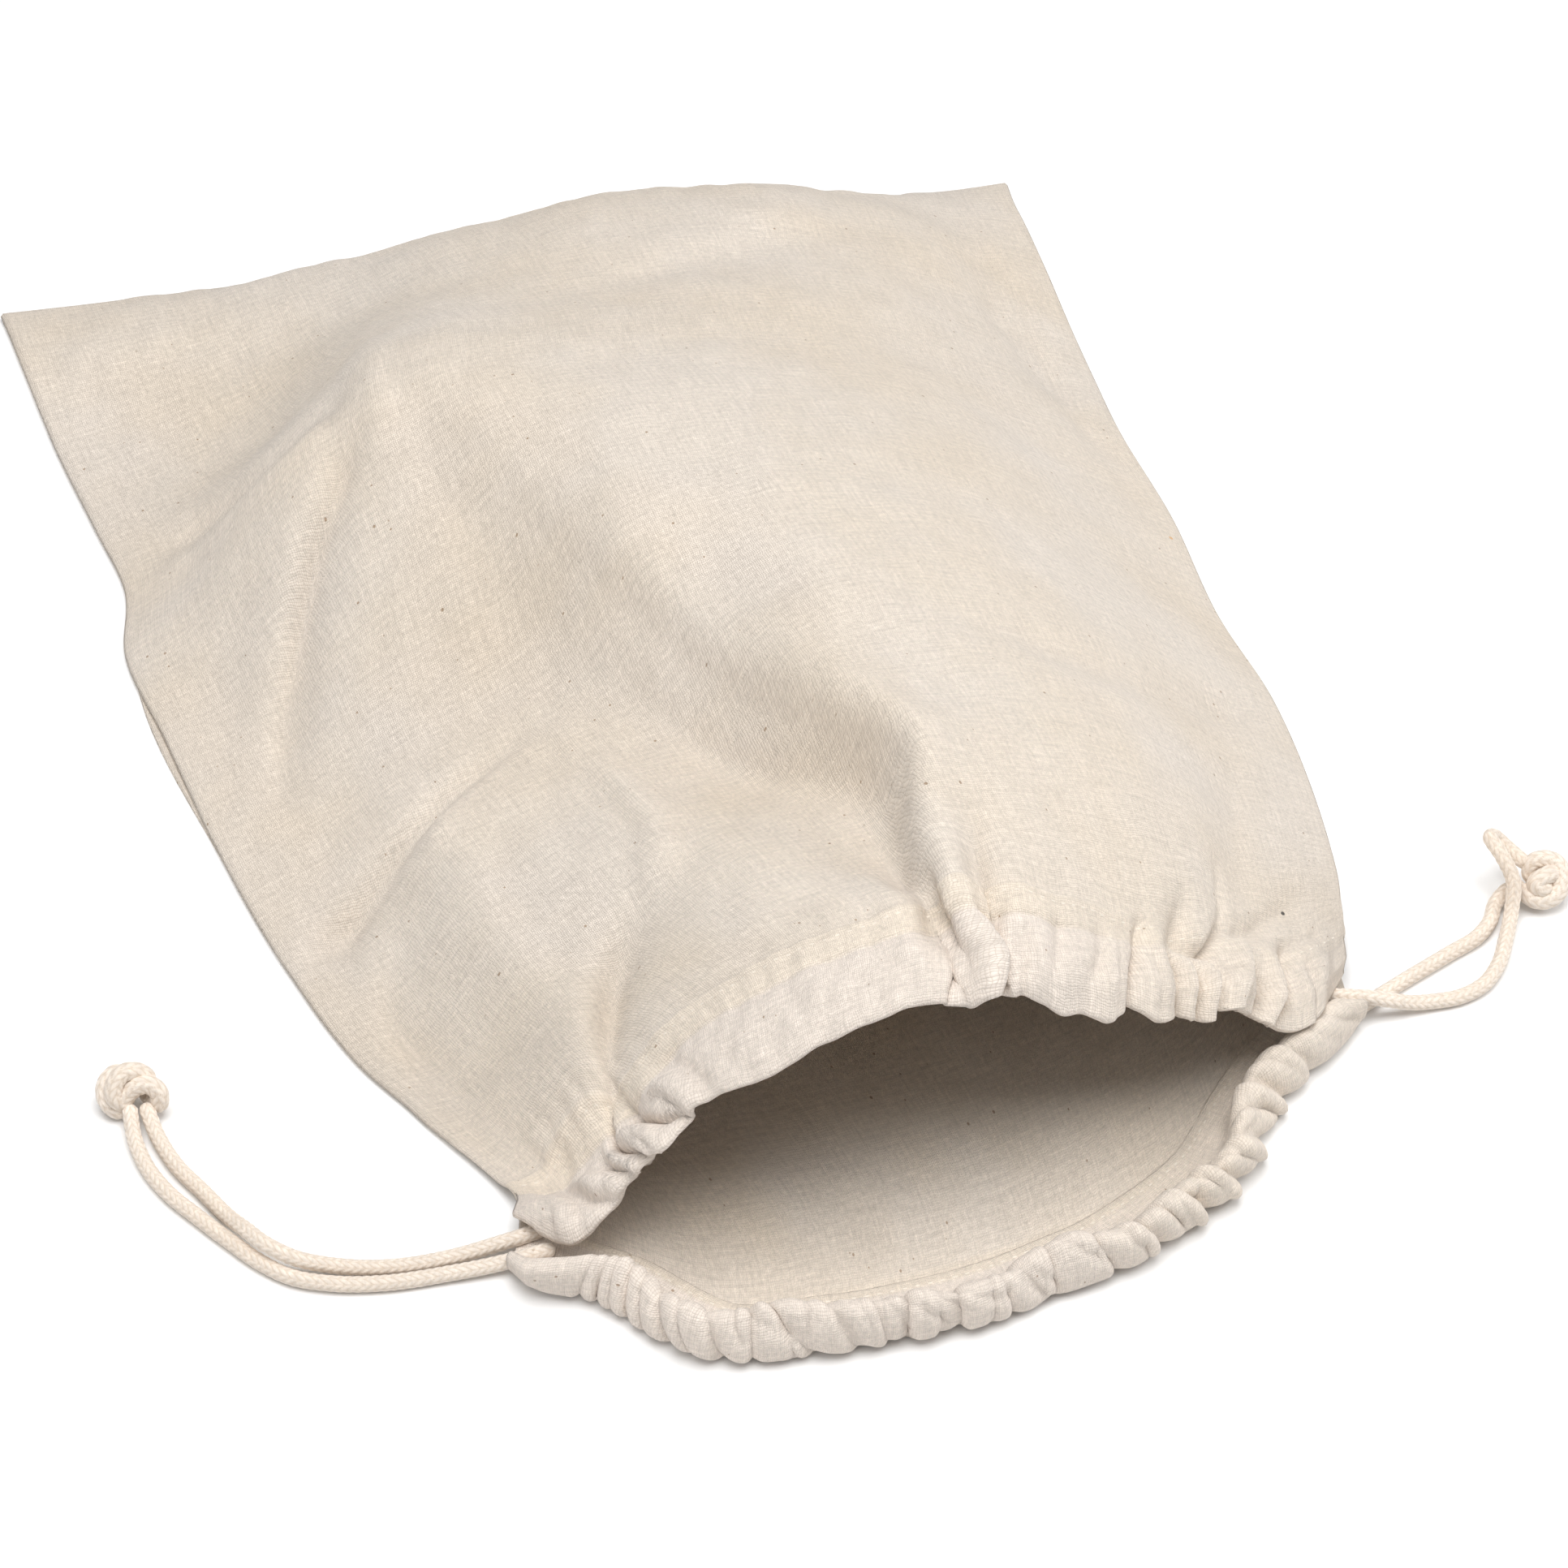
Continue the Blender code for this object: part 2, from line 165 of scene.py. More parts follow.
# Each strand from inside its casing to inside its knot. Columns: x, y, z.
LEFT_OVER = (
    (-104.5, -132.1, 3.9), (-109, -132.5, 3.7), (-116, -133, 3.6), (-129, -132.8, 2.6), (-145, -130.6, 2.3),
    (-157, -126.8, 3.2), (-165.5, -123.2, 5.2), (-171.3, -118, 6.6), (-174.6, -111, 5.4),
    (-177.4, -103.6, 3), (-181.3, -93.4, 2.3), (-185.6, -83, 2.3), (-188, -72, 2.8), (-188.8, -62.9, 5),
)
LEFT_UNDER = (
    (-104, -139.4, 4.6), (-116.4, -138.9, 3.3), (-130.5, -137.4, 2.4), (-146.5, -135.2, 2.2),
    (-158.5, -131.4, 2.2), (-167, -126.6, 2.2), (-173.4, -119.4, 2.2), (-178.6, -111, 2.2),
    (-184.4, -100.8, 2.2), (-189.6, -91, 2.2), (-192.8, -80.6, 2.2), (-193.6, -72, 2.8), (-192.6, -62.2, 5),
)
RIGHT_OVER = (
    (97, -119, 7), (106, -121.8, 6.8), (110.6, -124, 7.2), (115.6, -126.2, 7.4), (121, -127.6, 6),
    (127, -128.2, 3.7), (133.5, -128.6, 2.5), (140, -129, 2.3), (147.6, -127, 2.3), (154, -121.8, 2.3),
    (159.6, -114, 2.6), (164.2, -106.6, 5), (166, -102.4, 10), (164.6, -97.6, 15), (163.6, -91.4, 16.4),
    (166.4, -88.6, 13.4), (169.2, -90.8, 10.6), (172.8, -97, 8.6),
)
RIGHT_UNDER = (
    (104, -128, 4), (112.7, -125.3, 3), (119.6, -122.6, 2.2), (129.6, -119, 2.2), (144, -114, 2.2),
    (153, -110.8, 2.2), (158.6, -106.4, 2.2), (162, -101.6, 2.4), (166, -99.6, 4.2), (170.6, -100, 5.6),
)
# Columns: strand, its route, knot at its end, CAD node.
STRANDS = (
    ("left_strand_over", LEFT_OVER, "left_tied_knot", "left_cord_over"),
    ("left_strand_under", LEFT_UNDER, None, "left_cord_under"),
    ("right_strand_over", RIGHT_OVER, "right_tied_knot", "right_cord_over"),
    ("right_strand_under", RIGHT_UNDER, None, "right_cord_under"),
)

# The line of each tied knot, from its middle, as seen from above the mouth: across, up and towards the eye.
LEFT_TURNS = (
    (-1.2, -4.6, -1.8), (-4.2, -4.3, -0.9), (-6.5, -1.6, -0.5), (-6.5, 2.2, -0.9), (-4.4, 4.4, -2.2),
    (-0.8, 3.6, -3.2), (2.6, 0.9, -3.3), (5.2, -2.3, -2.4), (6.8, -2.6, 0.2), (6.8, 0.3, 2),
    (4.6, 2, 2.7), (1.6, 1.6, 2.5), (-0.6, -0.2, 1.6), (-2.4, -2.4, 1), (-3.9, -1.4, 2),
    (-3.9, 2, 3), (-2, 4.7, 3), (1, 5.2, 1.9), (3.6, 3.6, -0.2), (3.4, 0.6, -1.6),
)
RIGHT_TURNS = (
    (-4.8, -1.4, -1), (-4.4, -4, 0.4), (-1.6, -5.6, 1), (1.8, -5, 1.2), (4.2, -2.2, 1),
    (4.6, 1.2, 0.4), (3.2, 4, -0.4), (0.2, 5, -0.6), (-2.8, 4, -1.4), (-3.2, 1.6, -2.4),
    (-0.8, -0.8, -2.6), (1.6, -0.6, -0.8), (1.6, 1.2, 1.4), (-0.6, 0.4, 2.6), (-2.6, -1.4, 2.6),
    (-0.8, -2.6, 2), (1.6, -1.8, 0.6),
)
KNOT_CORD = 2.45  # radius of the cord in a knot, where two strands run as one
KNOT_LIFT = 0.1  # how far a knot stays off the surface
# Columns: name, CAD node, middle x, y and z, its line.
KNOTS = (
    ("left_tied_knot", "left_knot", (-191.2, -59.6, 6.6), LEFT_TURNS),
    ("right_tied_knot", "right_knot", (175.4, -101.4, 7.4), RIGHT_TURNS),
)
EYE_TURN, EYE_TILT = -18.0, 45.0  # degrees round from straight in front of the mouth, and up


def node(tree, kind, inputs=(), **settings):
    """A shader node with its settings. Inputs are given by name, as values or as other nodes' outputs."""
    made = tree.nodes.new("ShaderNode" + kind)
    for key, value in settings.items():
        setattr(made, key, value)
    for key, value in dict(inputs).items():
        if isinstance(value, bpy.types.NodeSocket):
            tree.links.new(value, made.inputs[key])
        else:
            made.inputs[key].default_value = value
    return made


def maths(tree, operation, *values):
    """The output of a Math node over one, two or three values."""
    return node(tree, "Math", enumerate(values), operation=operation).outputs[0]


def mixed(tree, share, first, second, way="MIX"):
    """The output of a colour Mix node."""
    made = node(tree, "Mix", ((0, share), (6, first), (7, second)), data_type="RGBA", blend_type=way)
    return made.outputs[2]


def ranged(tree, value, low, high, least=0.0, most=1.0):
    """The output of a Map Range node, which turns low to high into least to most and goes no further."""
    return node(tree, "MapRange", ((0, value), (1, low), (2, high), (3, least), (4, most))).outputs[0]


def noise(tree, place, scale, detail):
    """The outputs of a Noise node."""
    return node(tree, "TexNoise", (("Vector", place), ("Scale", scale), ("Detail", detail))).outputs


def bumped(tree, shader, height, strength, distance):
    """Gives a shader the fine relief of a height, whose full distance is in millimetres."""
    made = node(tree, "Bump", (("Height", height), ("Strength", strength), ("Distance", distance * MM)))
    tree.links.new(made.outputs[0], shader["Normal"])


def new_group(name, inputs, outputs):
    """An empty shader node group with its named sockets. Returns it and the sockets of its two end nodes."""
    group = bpy.data.node_groups.new(name, "ShaderNodeTree")
    for way, sockets in (("INPUT", inputs), ("OUTPUT", outputs)):
        for label, kind in sockets:
            group.interface.new_socket(name=label, in_out=way, socket_type="NodeSocket" + kind)
    return group, group.nodes.new("NodeGroupInput").outputs, group.nodes.new("NodeGroupOutput").inputs


def undyed_tone_group():
    """The uneven cream of undyed cotton: warm clouds, streaky yarns, grain and specks of husk."""
    group, given, put = new_group(
        "undyed tone",
        (("Place", "Vector"), ("Clean", "Color"), ("Warm", "Color"), ("Husk", "Float")),
        (("Color", "Color"),),
    )
    place = given["Place"]
    warmth = ranged(group, noise(group, place, CLOUDS, 3.0)["Fac"], *CLOUD_SPAN)
    tone = mixed(group, warmth, given["Clean"], given["Warm"])
    split = node(group, "SeparateXYZ", ((0, place),)).outputs
    for stretch in STREAK_WAYS:
        grid = [maths(group, "MULTIPLY", split[k], stretch[k]) for k in (0, 1)]
        stretched = node(group, "CombineXYZ", (("X", grid[0]), ("Y", grid[1]), ("Z", split[2]))).outputs[0]
        shade = ranged(group, noise(group, stretched, STREAKS, 2.0)["Fac"], *YARN_SPAN, *STREAK_SHADES)
        tone = mixed(group, 1.0, tone, shade, "MULTIPLY")
    shade = ranged(group, noise(group, place, GRAIN, 2.0)["Fac"], *YARN_SPAN, *GRAIN_SHADES)
    tone = mixed(group, 1.0, tone, shade, "MULTIPLY")
    cells = node(group, "TexVoronoi", (("Vector", place), ("Scale", HUSKS))).outputs
    chance = node(group, "SeparateColor", ((0, cells["Color"]),)).outputs[0]
    size = ranged(group, chance, 0.25, 1.0, *HUSK_SIZES)
    inside = maths(group, "SUBTRACT", size, cells["Distance"])
    depth = ranged(group, inside, 0.0, HUSK_EDGE, 0.0, HUSK_DEPTH)
    speck = maths(group, "MULTIPLY", depth, given["Husk"])
    group.links.new(mixed(group, speck, tone, HUSK_BROWN), put["Color"])
    return group


UNDYED_TONE = undyed_tone_group()


def undyed_tone(tree, place, clean, warm, husk):
    """The colour of undyed cotton at a place, between its clean tone and its warm one."""
    inputs = (("Place", place), ("Clean", clean), ("Warm", warm), ("Husk", husk))
    return node(tree, "Group", inputs, node_tree=UNDYED_TONE).outputs["Color"]


def cord_material():
    """Plaited cotton: pale yarns, with painted shade that darkens the grooves between the stitches."""
    material, tree, shader = new_material("plaited_cotton", roughness=0.92, specular=0.15, sheen=0.25)
    place = node(tree, "UVMap", uv_map="cord_mm").outputs[0]
    # Painted groove shade, stored on the cord's points: how far each point's colour is darkened.
    groove_shade = node(tree, "Attribute", attribute_name="groove_shade").outputs["Fac"]
    tone = undyed_tone(tree, place, *CORD_TONES, husk=0.8)
    tree.links.new(mixed(tree, groove_shade, tone, CORD_GROOVE_SHADE), shader["Base Color"])
    bumped(tree, shader, noise(tree, place, 3.0, 3.0)["Fac"], 0.5, 0.15)
    return material


def along(places, values, at):
    """A smooth curve through values at places, read at the given places. Values may hold columns."""
    places = np.asarray(places, float)
    values = np.asarray(values, float).reshape(len(places), -1)
    step = np.diff(places)[:, None]
    rate = np.diff(values, axis=0) / step
    inner = (rate[:-1] * step[1:] + rate[1:] * step[:-1]) / (step[1:] + step[:-1])
    slope = np.vstack((rate[:1], inner, rate[-1:]))
    i = np.clip(np.searchsorted(places, at) - 1, 0, len(places) - 2)
    t = ((at - places[i]) / step[i, 0])[:, None]
    curve = values[i] * (1 + 2 * t) * (1 - t) ** 2 + values[i + 1] * t * t * (3 - 2 * t)
    return curve + step[i] * (slope[i] * t * (1 - t) ** 2 - slope[i + 1] * t * t * (1 - t))


def distances(line):
    """Distance along a line at each of its points."""
    return np.concatenate(([0], np.cumsum(np.linalg.norm(np.diff(line, axis=0), axis=1))))


def points_at(line, run, at):
    """Points of a line, whose distances are its run, at other distances along it."""
    return np.stack([np.interp(at, run, line[:, k]) for k in range(3)], 1)


def unit(vectors):
    """The vectors, one to a row, at length 1."""
    return vectors / np.linalg.norm(vectors, axis=1)[:, None]


def evenly(route, step):
    """A smooth line through the route's places, with a point about every step, and its distances."""
    route = np.asarray(route, float)
    places = distances(route)
    line = along(places, route, np.linspace(0, places[-1], 2000))
    run = distances(line)
    at = np.linspace(0, run[-1], round(run[-1] / step) + 1)
    return points_at(line, run, at), at


def ring_axes(line):
    """Two axes square to the line at each of its points, which turn with it as little as they can."""
    heading = unit(np.gradient(line, axis=0))
    side = np.cross(heading[0], (0, 0, 1.0))
    sides = []
    for way in heading:
        side = side - way * (side @ way)
        side = side / np.linalg.norm(side)
        sides.append(side)
    sides = np.array(sides)
    return sides, np.cross(heading, sides)


def plait(turn, run):
    """Relief of the plait, from 0 in a groove to 1, at each share of a turn and distance along the cord."""
    column = turn * PLAIT_COLUMNS
    across = 2 * (column % 1) - 1
    slant = np.where(np.floor(column) % 2 == 0, 1, -1)
    stitch = run / PLAIT_PITCH + 0.5 * slant * across
    pillow = np.abs(np.sin(np.pi * stitch)) ** 0.6 * (1 - 0.45 * np.abs(across) ** 4)
    yarn = np.abs(np.sin(np.pi * YARNS * stitch))
    return pillow * (1 - YARN_DEPTH + YARN_DEPTH * yarn)


def add_piece(name, points, faces, material, flat_map=None, flat=None):
    """A smooth mesh piece. Its map, if it has one, gives each point's place on the flat cloth or cord."""
    mesh = bpy.data.meshes.new(name)
    mesh.from_pydata(placed(points).tolist(), [], faces)
    mesh.shade_smooth()
    mesh.materials.append(material)
    if flat_map:
        corner = np.zeros(len(mesh.loops), np.int32)
        mesh.loops.foreach_get("vertex_index", corner)
        mesh.uv_layers.new(name=flat_map).data.foreach_set("uv", flat[corner].astype(np.float32).ravel())
    piece = bpy.data.objects.new(name, mesh)
    bpy.context.scene.collection.objects.link(piece)
    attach(piece, "root")
    return piece


def add_tube(name, line, run, radius):
    """A plaited cord along a line, closed and rounded at both ends. Radius has a value for each point."""
    sides, ups = ring_axes(line)
    turn = np.arange(CORD_RING) / CORD_RING
    relief = plait(turn[None, :], run[:, None])
    reach = radius[:, None] + PLAIT_RELIEF * (relief - PLAIT_MEAN)
    ring_x = np.cos(2 * np.pi * turn)[None, :, None] * sides[:, None, :]
    ring_y = np.sin(2 * np.pi * turn)[None, :, None] * ups[:, None, :]
    points = line[:, None, :] + reach[..., None] * (ring_x + ring_y)
    points = np.concatenate((points.reshape(-1, 3), line[[0, -1]]))
    last = (len(line) - 1) * CORD_RING
    near_tip, far_tip = last + CORD_RING, last + CORD_RING + 1
    neighbours = [(j, (j + 1) % CORD_RING) for j in range(CORD_RING)]
    faces = []
    for ring in range(0, last, CORD_RING):
        faces += [(ring + j, ring + k, ring + CORD_RING + k, ring + CORD_RING + j) for j, k in neighbours]
    for j, k in neighbours:
        faces += [(near_tip, k, j), (far_tip, last + j, last + k)]
    round_cord = turn[None, :] * 2 * np.pi * CORD_RADIUS
    flat = np.stack(np.broadcast_arrays(round_cord, run[:, None]), -1).reshape(-1, 2)
    flat = np.concatenate((flat, flat[[0, -1]]))
    tube = add_piece(name, points, faces, PLAITED_COTTON, "cord_mm", flat)
    # Painted shade: the lower a point lies between the stitches, the darker its colour.
    groove_shade = np.clip((GROOVE_FROM - relief) * GROOVE_GAIN, 0, 1)
    groove_shade = np.append(groove_shade, (0, 0)).astype(np.float32)
    tube.data.attributes.new("groove_shade", "FLOAT", "POINT").data.foreach_set("value", groove_shade)
    return tube


def rounded_ends(run, radius):
    """A cord's radius at each point of its run, drawn in at both ends."""
    from_end = np.minimum(run, run[-1] - run)
    return radius * np.sqrt(1 - (1 - np.clip(from_end / radius, 0.02, 1)) ** 2)


def from_eye(places):
    """Places given across, up and towards the eye, turned to the bag's frame."""
    turn, tilt = math.radians(EYE_TURN), math.radians(EYE_TILT)
    across = np.array((math.cos(turn), math.sin(turn), 0))
    away = np.array((-math.sin(turn), math.cos(turn), 0))
    upward = np.array((0, 0, 1.0))
    up = math.sin(tilt) * away + math.cos(tilt) * upward
    towards = math.sin(tilt) * upward - math.cos(tilt) * away
    return np.asarray(places, float) @ np.array((across, up, towards))


PLAITED_COTTON = cord_material()
for name, cad_node, middle, turns in KNOTS:
    line, run = evenly(from_eye(turns) + middle, CORD_STEP)
    line[:, 2] = np.maximum(line[:, 2], KNOT_CORD + KNOT_LIFT)
    add_tube(name, line, run, rounded_ends(run, KNOT_CORD))
    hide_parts(cad_node)
for name, route, knot, cad_node in STRANDS:
    line, run = evenly(route, CORD_STEP)
    strand = add_tube(name, line, run, rounded_ends(run, CORD_RADIUS))
    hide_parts(cad_node)


# ---- Cloth
# Both panels are cut from one undyed plain weave, about nineteen threads to the centimetre each way, soft
# and slubby. Where the casings are turned the cloth lies two or three deep and looks denser and paler.

PANEL_WIDTH = 300.0  # flat width of a panel between its side seams
THREAD_PITCH = 0.54
CASING_DEPTH = 28.0  # from the mouth's edge to the casing's seam
TURNED_IN = 8.0  # raw edge folded under inside the casing
CLOTH_THICK = 0.6
CLOTH_TONES = ((0.81, 0.726, 0.638, 1), (0.80, 0.697, 0.58, 1))  # clean and warm
CASING_TONES = ((0.85, 0.757, 0.675, 1), (0.85, 0.747, 0.63, 1))  # two deep, and three deep at the seam
CASING_FADES = (175.0, 215.0, 1.0, 0.3)  # places across between which those tones weaken, from and to
THREAD_GAP, GAP_SHARE = (0.44, 0.35, 0.26, 1), 0.5  # shade between the threads, and how far it shows
# Two larger specks. Columns: place across and from the mouth's edge, radius, colour.
LARGE_SPECKS = (
    ((274.5, 43.4, 0), 0.9, (0.07, 0.06, 0.05, 1)),
    ((296, 214, 0), 0.7, (0.70, 0.42, 0.18, 1)),
)


def plain_weave_group():
    """Relief of a plain weave: threads that pass over and under each other, none quite even."""
    group, given, put = new_group(
        "plain weave",
        (("Place", "Vector"), ("Pitch", "Float")),
        (("Height", "Float"), ("Gap", "Float")),
    )
    place = given["Place"]
    drift = node(group, "SeparateXYZ", ((0, noise(group, place, 0.5, 2.0)["Color"]),)).outputs
    split = node(group, "SeparateXYZ", ((0, place),)).outputs
    waves = []
    for k in (0, 1):
        shifted = maths(group, "MULTIPLY_ADD", drift[k], 1.1, split[k])
        turns = maths(group, "DIVIDE", shifted, given["Pitch"])
        waves.append(maths(group, "SINE", maths(group, "MULTIPLY", turns, math.pi)))
    over = maths(group, "ABSOLUTE", maths(group, "MULTIPLY", *waves))
    pillow = maths(group, "POWER", over, 0.5)
    slub = noise(group, place, 0.9, 3.0)["Fac"]
    group.links.new(maths(group, "MULTIPLY_ADD", slub, 0.9, pillow), put["Height"])
    group.links.new(ranged(group, pillow, 0.5, 0.0), put["Gap"])
    return group


def cloth_material():
    """The bag's cloth. Its map holds places in millimetres across the panel and from the mouth's edge."""
    material, tree, shader = new_material("undyed_plain_weave", roughness=0.93, specular=0.12, sheen=0.2)
    place = node(tree, "UVMap", uv_map="cloth_mm").outputs[0]
    across, from_mouth, _ = node(tree, "SeparateXYZ", ((0, place),)).outputs
    weave_at = (("Place", place), ("Pitch", THREAD_PITCH))
    weave = node(tree, "Group", weave_at, node_tree=plain_weave_group()).outputs
    from_lip = maths(tree, "ABSOLUTE", from_mouth)
    clear = ranged(tree, across, *CASING_FADES)
    tones = []
    for tone in CLOTH_TONES:
        for depth, casing_tone in zip((CASING_DEPTH, CASING_DEPTH - TURNED_IN), reversed(CASING_TONES)):
            within = maths(tree, "MULTIPLY", ranged(tree, from_lip, depth + 0.5, depth - 0.7), clear)
            tone = mixed(tree, within, tone, casing_tone)
        tones.append(tone)
    colour = undyed_tone(tree, place, *tones, husk=1.0)
    colour = mixed(tree, maths(tree, "MULTIPLY", weave["Gap"], GAP_SHARE), colour, THREAD_GAP)
    for middle, radius, shade in LARGE_SPECKS:
        offset = node(tree, "VectorMath", ((0, place), (1, middle)), operation="DISTANCE").outputs["Value"]
        colour = mixed(tree, ranged(tree, offset, radius, radius * 0.7), colour, shade)
    tree.links.new(colour, shader["Base Color"])
    bumped(tree, shader, weave["Height"], 0.8, 0.2)
    return material


UNDYED_CLOTH = cloth_material()


# ---- Front panel
# The upper panel, draped over the shape that a round loaf gives the bag. Its mouth edge is turned down
# twice into a casing 28 mm deep, which the drawcord pulls into gathers, and its sides and far end are
# turned in and sewn to the back panel.

SOLID_THICK, SOLID_GAP = 1.2, 0.3  # thickness of a panel's solid, and the room between the two panels

# Places across a panel, as a share of its width from the left side seam, in the order that the
# heights of FRONT_SECTIONS are given.
STATIONS = (0.0, 0.07, 0.16, 0.30, 0.42, 0.52, 0.64, 0.78, 0.90, 1.0)

# Cross-sections of the front panel's underside, from the mouth's edge to the far seam.
# Columns: left seam x and y, right seam x and y, y at the middle, then the heights at STATIONS.
FRONT_SECTIONS = (
    (-112, -131, 112, -116, -152, 7, 13, 47, 71, 77, 74, 63, 41, 17, 7),
    (-109, -118, 119, -98, -124, 3.5, 11, 46, 74, 80, 82, 74, 53, 20, 4),
    (-122, -88, 126, -78, -95, 1.5, 14, 37, 66, 75, 84, 81, 58, 23, 1.5),
    (-134, -60, 131.5, -47, -58, 1.5, 13, 37, 56, 65, 84, 82, 59, 25, 1.5),
    (-143, -22, 134.5, -12, -18, 1.5, 10, 31, 46, 63, 86, 81, 57, 26, 1.5),
    (-149, 20, 132.5, 25, 25, 1.5, 8, 22, 43, 79, 85, 78, 56, 26, 1.5),
    (-153, 68, 135, 68, 70, 1.5, 9, 36, 64, 81, 79, 70, 50, 22, 1.5),
    (-155.5, 101, 134, 103, 104, 1.5, 14, 46, 73, 74, 70, 61, 43, 20, 1.5),
    (-150, 128, 135, 126, 135, 1.5, 8, 35, 64, 62, 59, 53, 39, 18, 1.5),
    (-152.5, 155, 136.5, 150, 160, 1.5, 4, 13, 47, 50, 50, 46, 35, 17, 1.5),
    (-156, 195, 139, 180, 192, 1.5, 4, 9, 24, 36, 38, 37, 31, 15, 1.5),
    (-157.5, 235, 140.5, 203, 216, 1.5, 4, 8, 17, 24, 27, 28, 24, 11, 1.5),
    (-158, 247, 141, 214, 229, 1.5, 3, 5, 11, 15, 17, 18, 15, 7, 1.5),
    (-158.5, 254, 142, 221, 236, 1.5, 1.5, 1.5, 3, 4, 5, 5, 3.5, 2, 1.5),
)

# Folds of the front panel. Columns: width left and right of its run, then the places that it runs
# through, each with x, y and rise (below zero for a trough). First the main ones, as in the solid.
FRONT_FOLDS = (
    (6, 9, (-74, 160, 1), (-77, 130, 3), (-84, 99, 2)),  # ridge down the loaf's back shoulder
    (7, 5, (-84, 154, -1), (-88, 122, -3), (-94, 97, -3)),  # trough along that ridge's outer side
    (8, 5, (-92, 97, -4), (-110, 74, -8), (-128, 30, -2)),  # trough falling on to the left seam
    # Long valley across the loaf to the mouth, and the crest beside it.
    (8, 16, (-74, 88, -3), (-52, 8, -4.5), (-27, -40, -7), (-11, -72, -8), (-9, -98, -7), (-8, -120, 0)),
    (15, 5, (-60, 84, 1), (-28, 2, 3.5), (-3, -54, 5.5), (7, -82, 6.5), (3, -102, 4), (0, -126, 2)),
    (3, 5, (-3, -104, -2), (-4, -118, -6), (-4, -150, -4)),  # pleat where that valley meets the mouth
    (4, 4, (6, -112, 0), (3, -124, 2.5), (3, -150, 3)),  # puffed ridge right of the pleat
    (4, 4, (13, -104, -1), (9, -124, -4), (6, -150, -4)),  # second pleat
    (12, 8, (28, -80, 1), (22, -112, 3), (17, -146, 3)),  # swell right of both pleats
    (9, 4, (-66, 2, -1), (-98, -8, -7), (-124, -20, -7), (-142, -32, -2)),  # cross trough, to the seam
    (12, 6, (-112, -34, -3), (-121, -60, -5), (-116, -98, -7), (-107, -120, -4)),  # hollow at the seam
    (8, 7, (-100, -24, 3), (-98, -60, 5), (-84, -104, 4), (-82, -120, 1)),  # ridge down to the gathers
    (8, 5, (-56, -76, -1), (-72, -90, -7), (-80, -108, -9), (-80, -130, -6)),  # trough into them
    (7, 7, (99, -60, -1), (90, -92, -4), (70, -132, -4)),  # soft crease at the right mouth corner
    (9, 6, (118, 196, -1), (115, 150, -4), (128, 76, -2)),  # hollow along the right seam
    (8, 8, (34, -34, -1), (76, -44, -3), (128, -20, -3)),  # light crease right of the crest
    (7, 9, (-10, 150, -1), (30, 160, -2), (84, 182, -2)),  # light crease across the far half
)
# Then the lighter creases that only the cloth has.
FRONT_CREASES = (
    # Crisp edges of the long valley and of the loaf's shoulder, and the dip behind the shoulder.
    (9, 2, (-56, 82, 0.4), (-46, 40, 1.4), (-32, 4, 2.6), (-14, -36, 3.8), (-3, -62, 5), (6, -83, 6.2),
     (4, -95, 5.2), (0, -110, 3.2)),
    (2.2, 7, (-48, 10, -0.8), (-26, -40, -2), (-9, -66, -3), (-1, -83, -6), (-2, -97, -5.8),
     (-5, -113, -2.4)),
    (6, 2.5, (-82, 114, 0.8), (-95, 113, 2.6), (-107, 112, 3.8), (-118, 118, 3.8), (-131, 126, 2.6),
     (-145, 124, 1)),
    (2.5, 5, (-84, 124, -0.8), (-98, 124, -2.8), (-112, 127, -4.2), (-124, 134, -3.6), (-138, 136, -1.6)),
    (2.4, 3.5, (-84, 103, -1.2), (-92, 95, -2.6), (-103, 84, -3.2), (-113, 71, -2.8), (-122, 55, -1.8),
     (-130, 30, -0.6)),
    (6, 6, (-80, 103, 0.4), (-78, 85, 1.4), (-75, 62, 1.4), (-74, 36, 0.6)),
    # The swell above the left gathers.
    (2.5, 6, (-60, -4, 0.6), (-76, -7, 2), (-88, -12, 3), (-98, -19, 3), (-105, -32, 1.4)),
    (5, 3, (-62, -6, 0.6), (-56, -34, 2.2), (-53, -56, 3), (-59, -76, 2.8), (-66, -88, 1)),
    (3, 2, (-78, -2, -0.4), (-105, -11, -1.2), (-136, -29, -0.5)),
    (2.5, 3, (-60, -80, -0.8), (-74, -98, -2.2), (-80, -114, -2), (-84, -124, -0.6)),
    # Long light creases down the right part.
    (4, 4, (52, -70, 0.2), (47, -92, 0.7), (42, -110, 0.8), (38, -128, 0.5)),
    (3, 5, (112, -20, -0.3), (108, -48, -1), (96, -76, -1.6), (86, -98, -1.6), (78, -113, -1)),
    (4, 4, (122, -84, -0.3), (110, -94, -1), (98, -103, -1.2), (84, -114, -0.8)),
    (8, 8, (80, -80, -0.6), (72, -104, -2), (66, -118, -2.6), (60, -128, -2.2)),
    (5, 5, (80, 182, -0.3), (36, 168, -0.7), (-4, 152, -0.3)),
    (5, 6, (128, -22, -0.4), (62, -42, -0.8), (32, -36, -0.3)),
    (4, 4, (120, 118, -0.4), (124, 156, -0.8), (119, 194, -0.3)),
    (5, 5, (40, 60, -0.2), (72, 50, -0.6), (104, 58, -0.2)),
    # Creases in the flat corner and across the far part.
    (3, 3, (-156, 214, 0.2), (-146, 222, 0.8), (-134, 231, 0.2)),
    (3, 3, (-152, 196, -0.2), (-140, 208, -0.7), (-124, 216, -0.2)),
    (6, 6, (50, 206, 0.3), (60, 199, 0.8), (72, 196, 0.3)),
    (34, 34, (-30, 206, 2), (10, 205, 5.5), (48, 196, 4.5), (78, 190, 1.5)),
    (5, 5, (-12, 194, 0.3), (-2, 191, 0.7), (10, 188, 0.2)),
    (4, 5, (-20, 96, -0.2), (10, 108, -0.6), (44, 104, -0.2)),
)
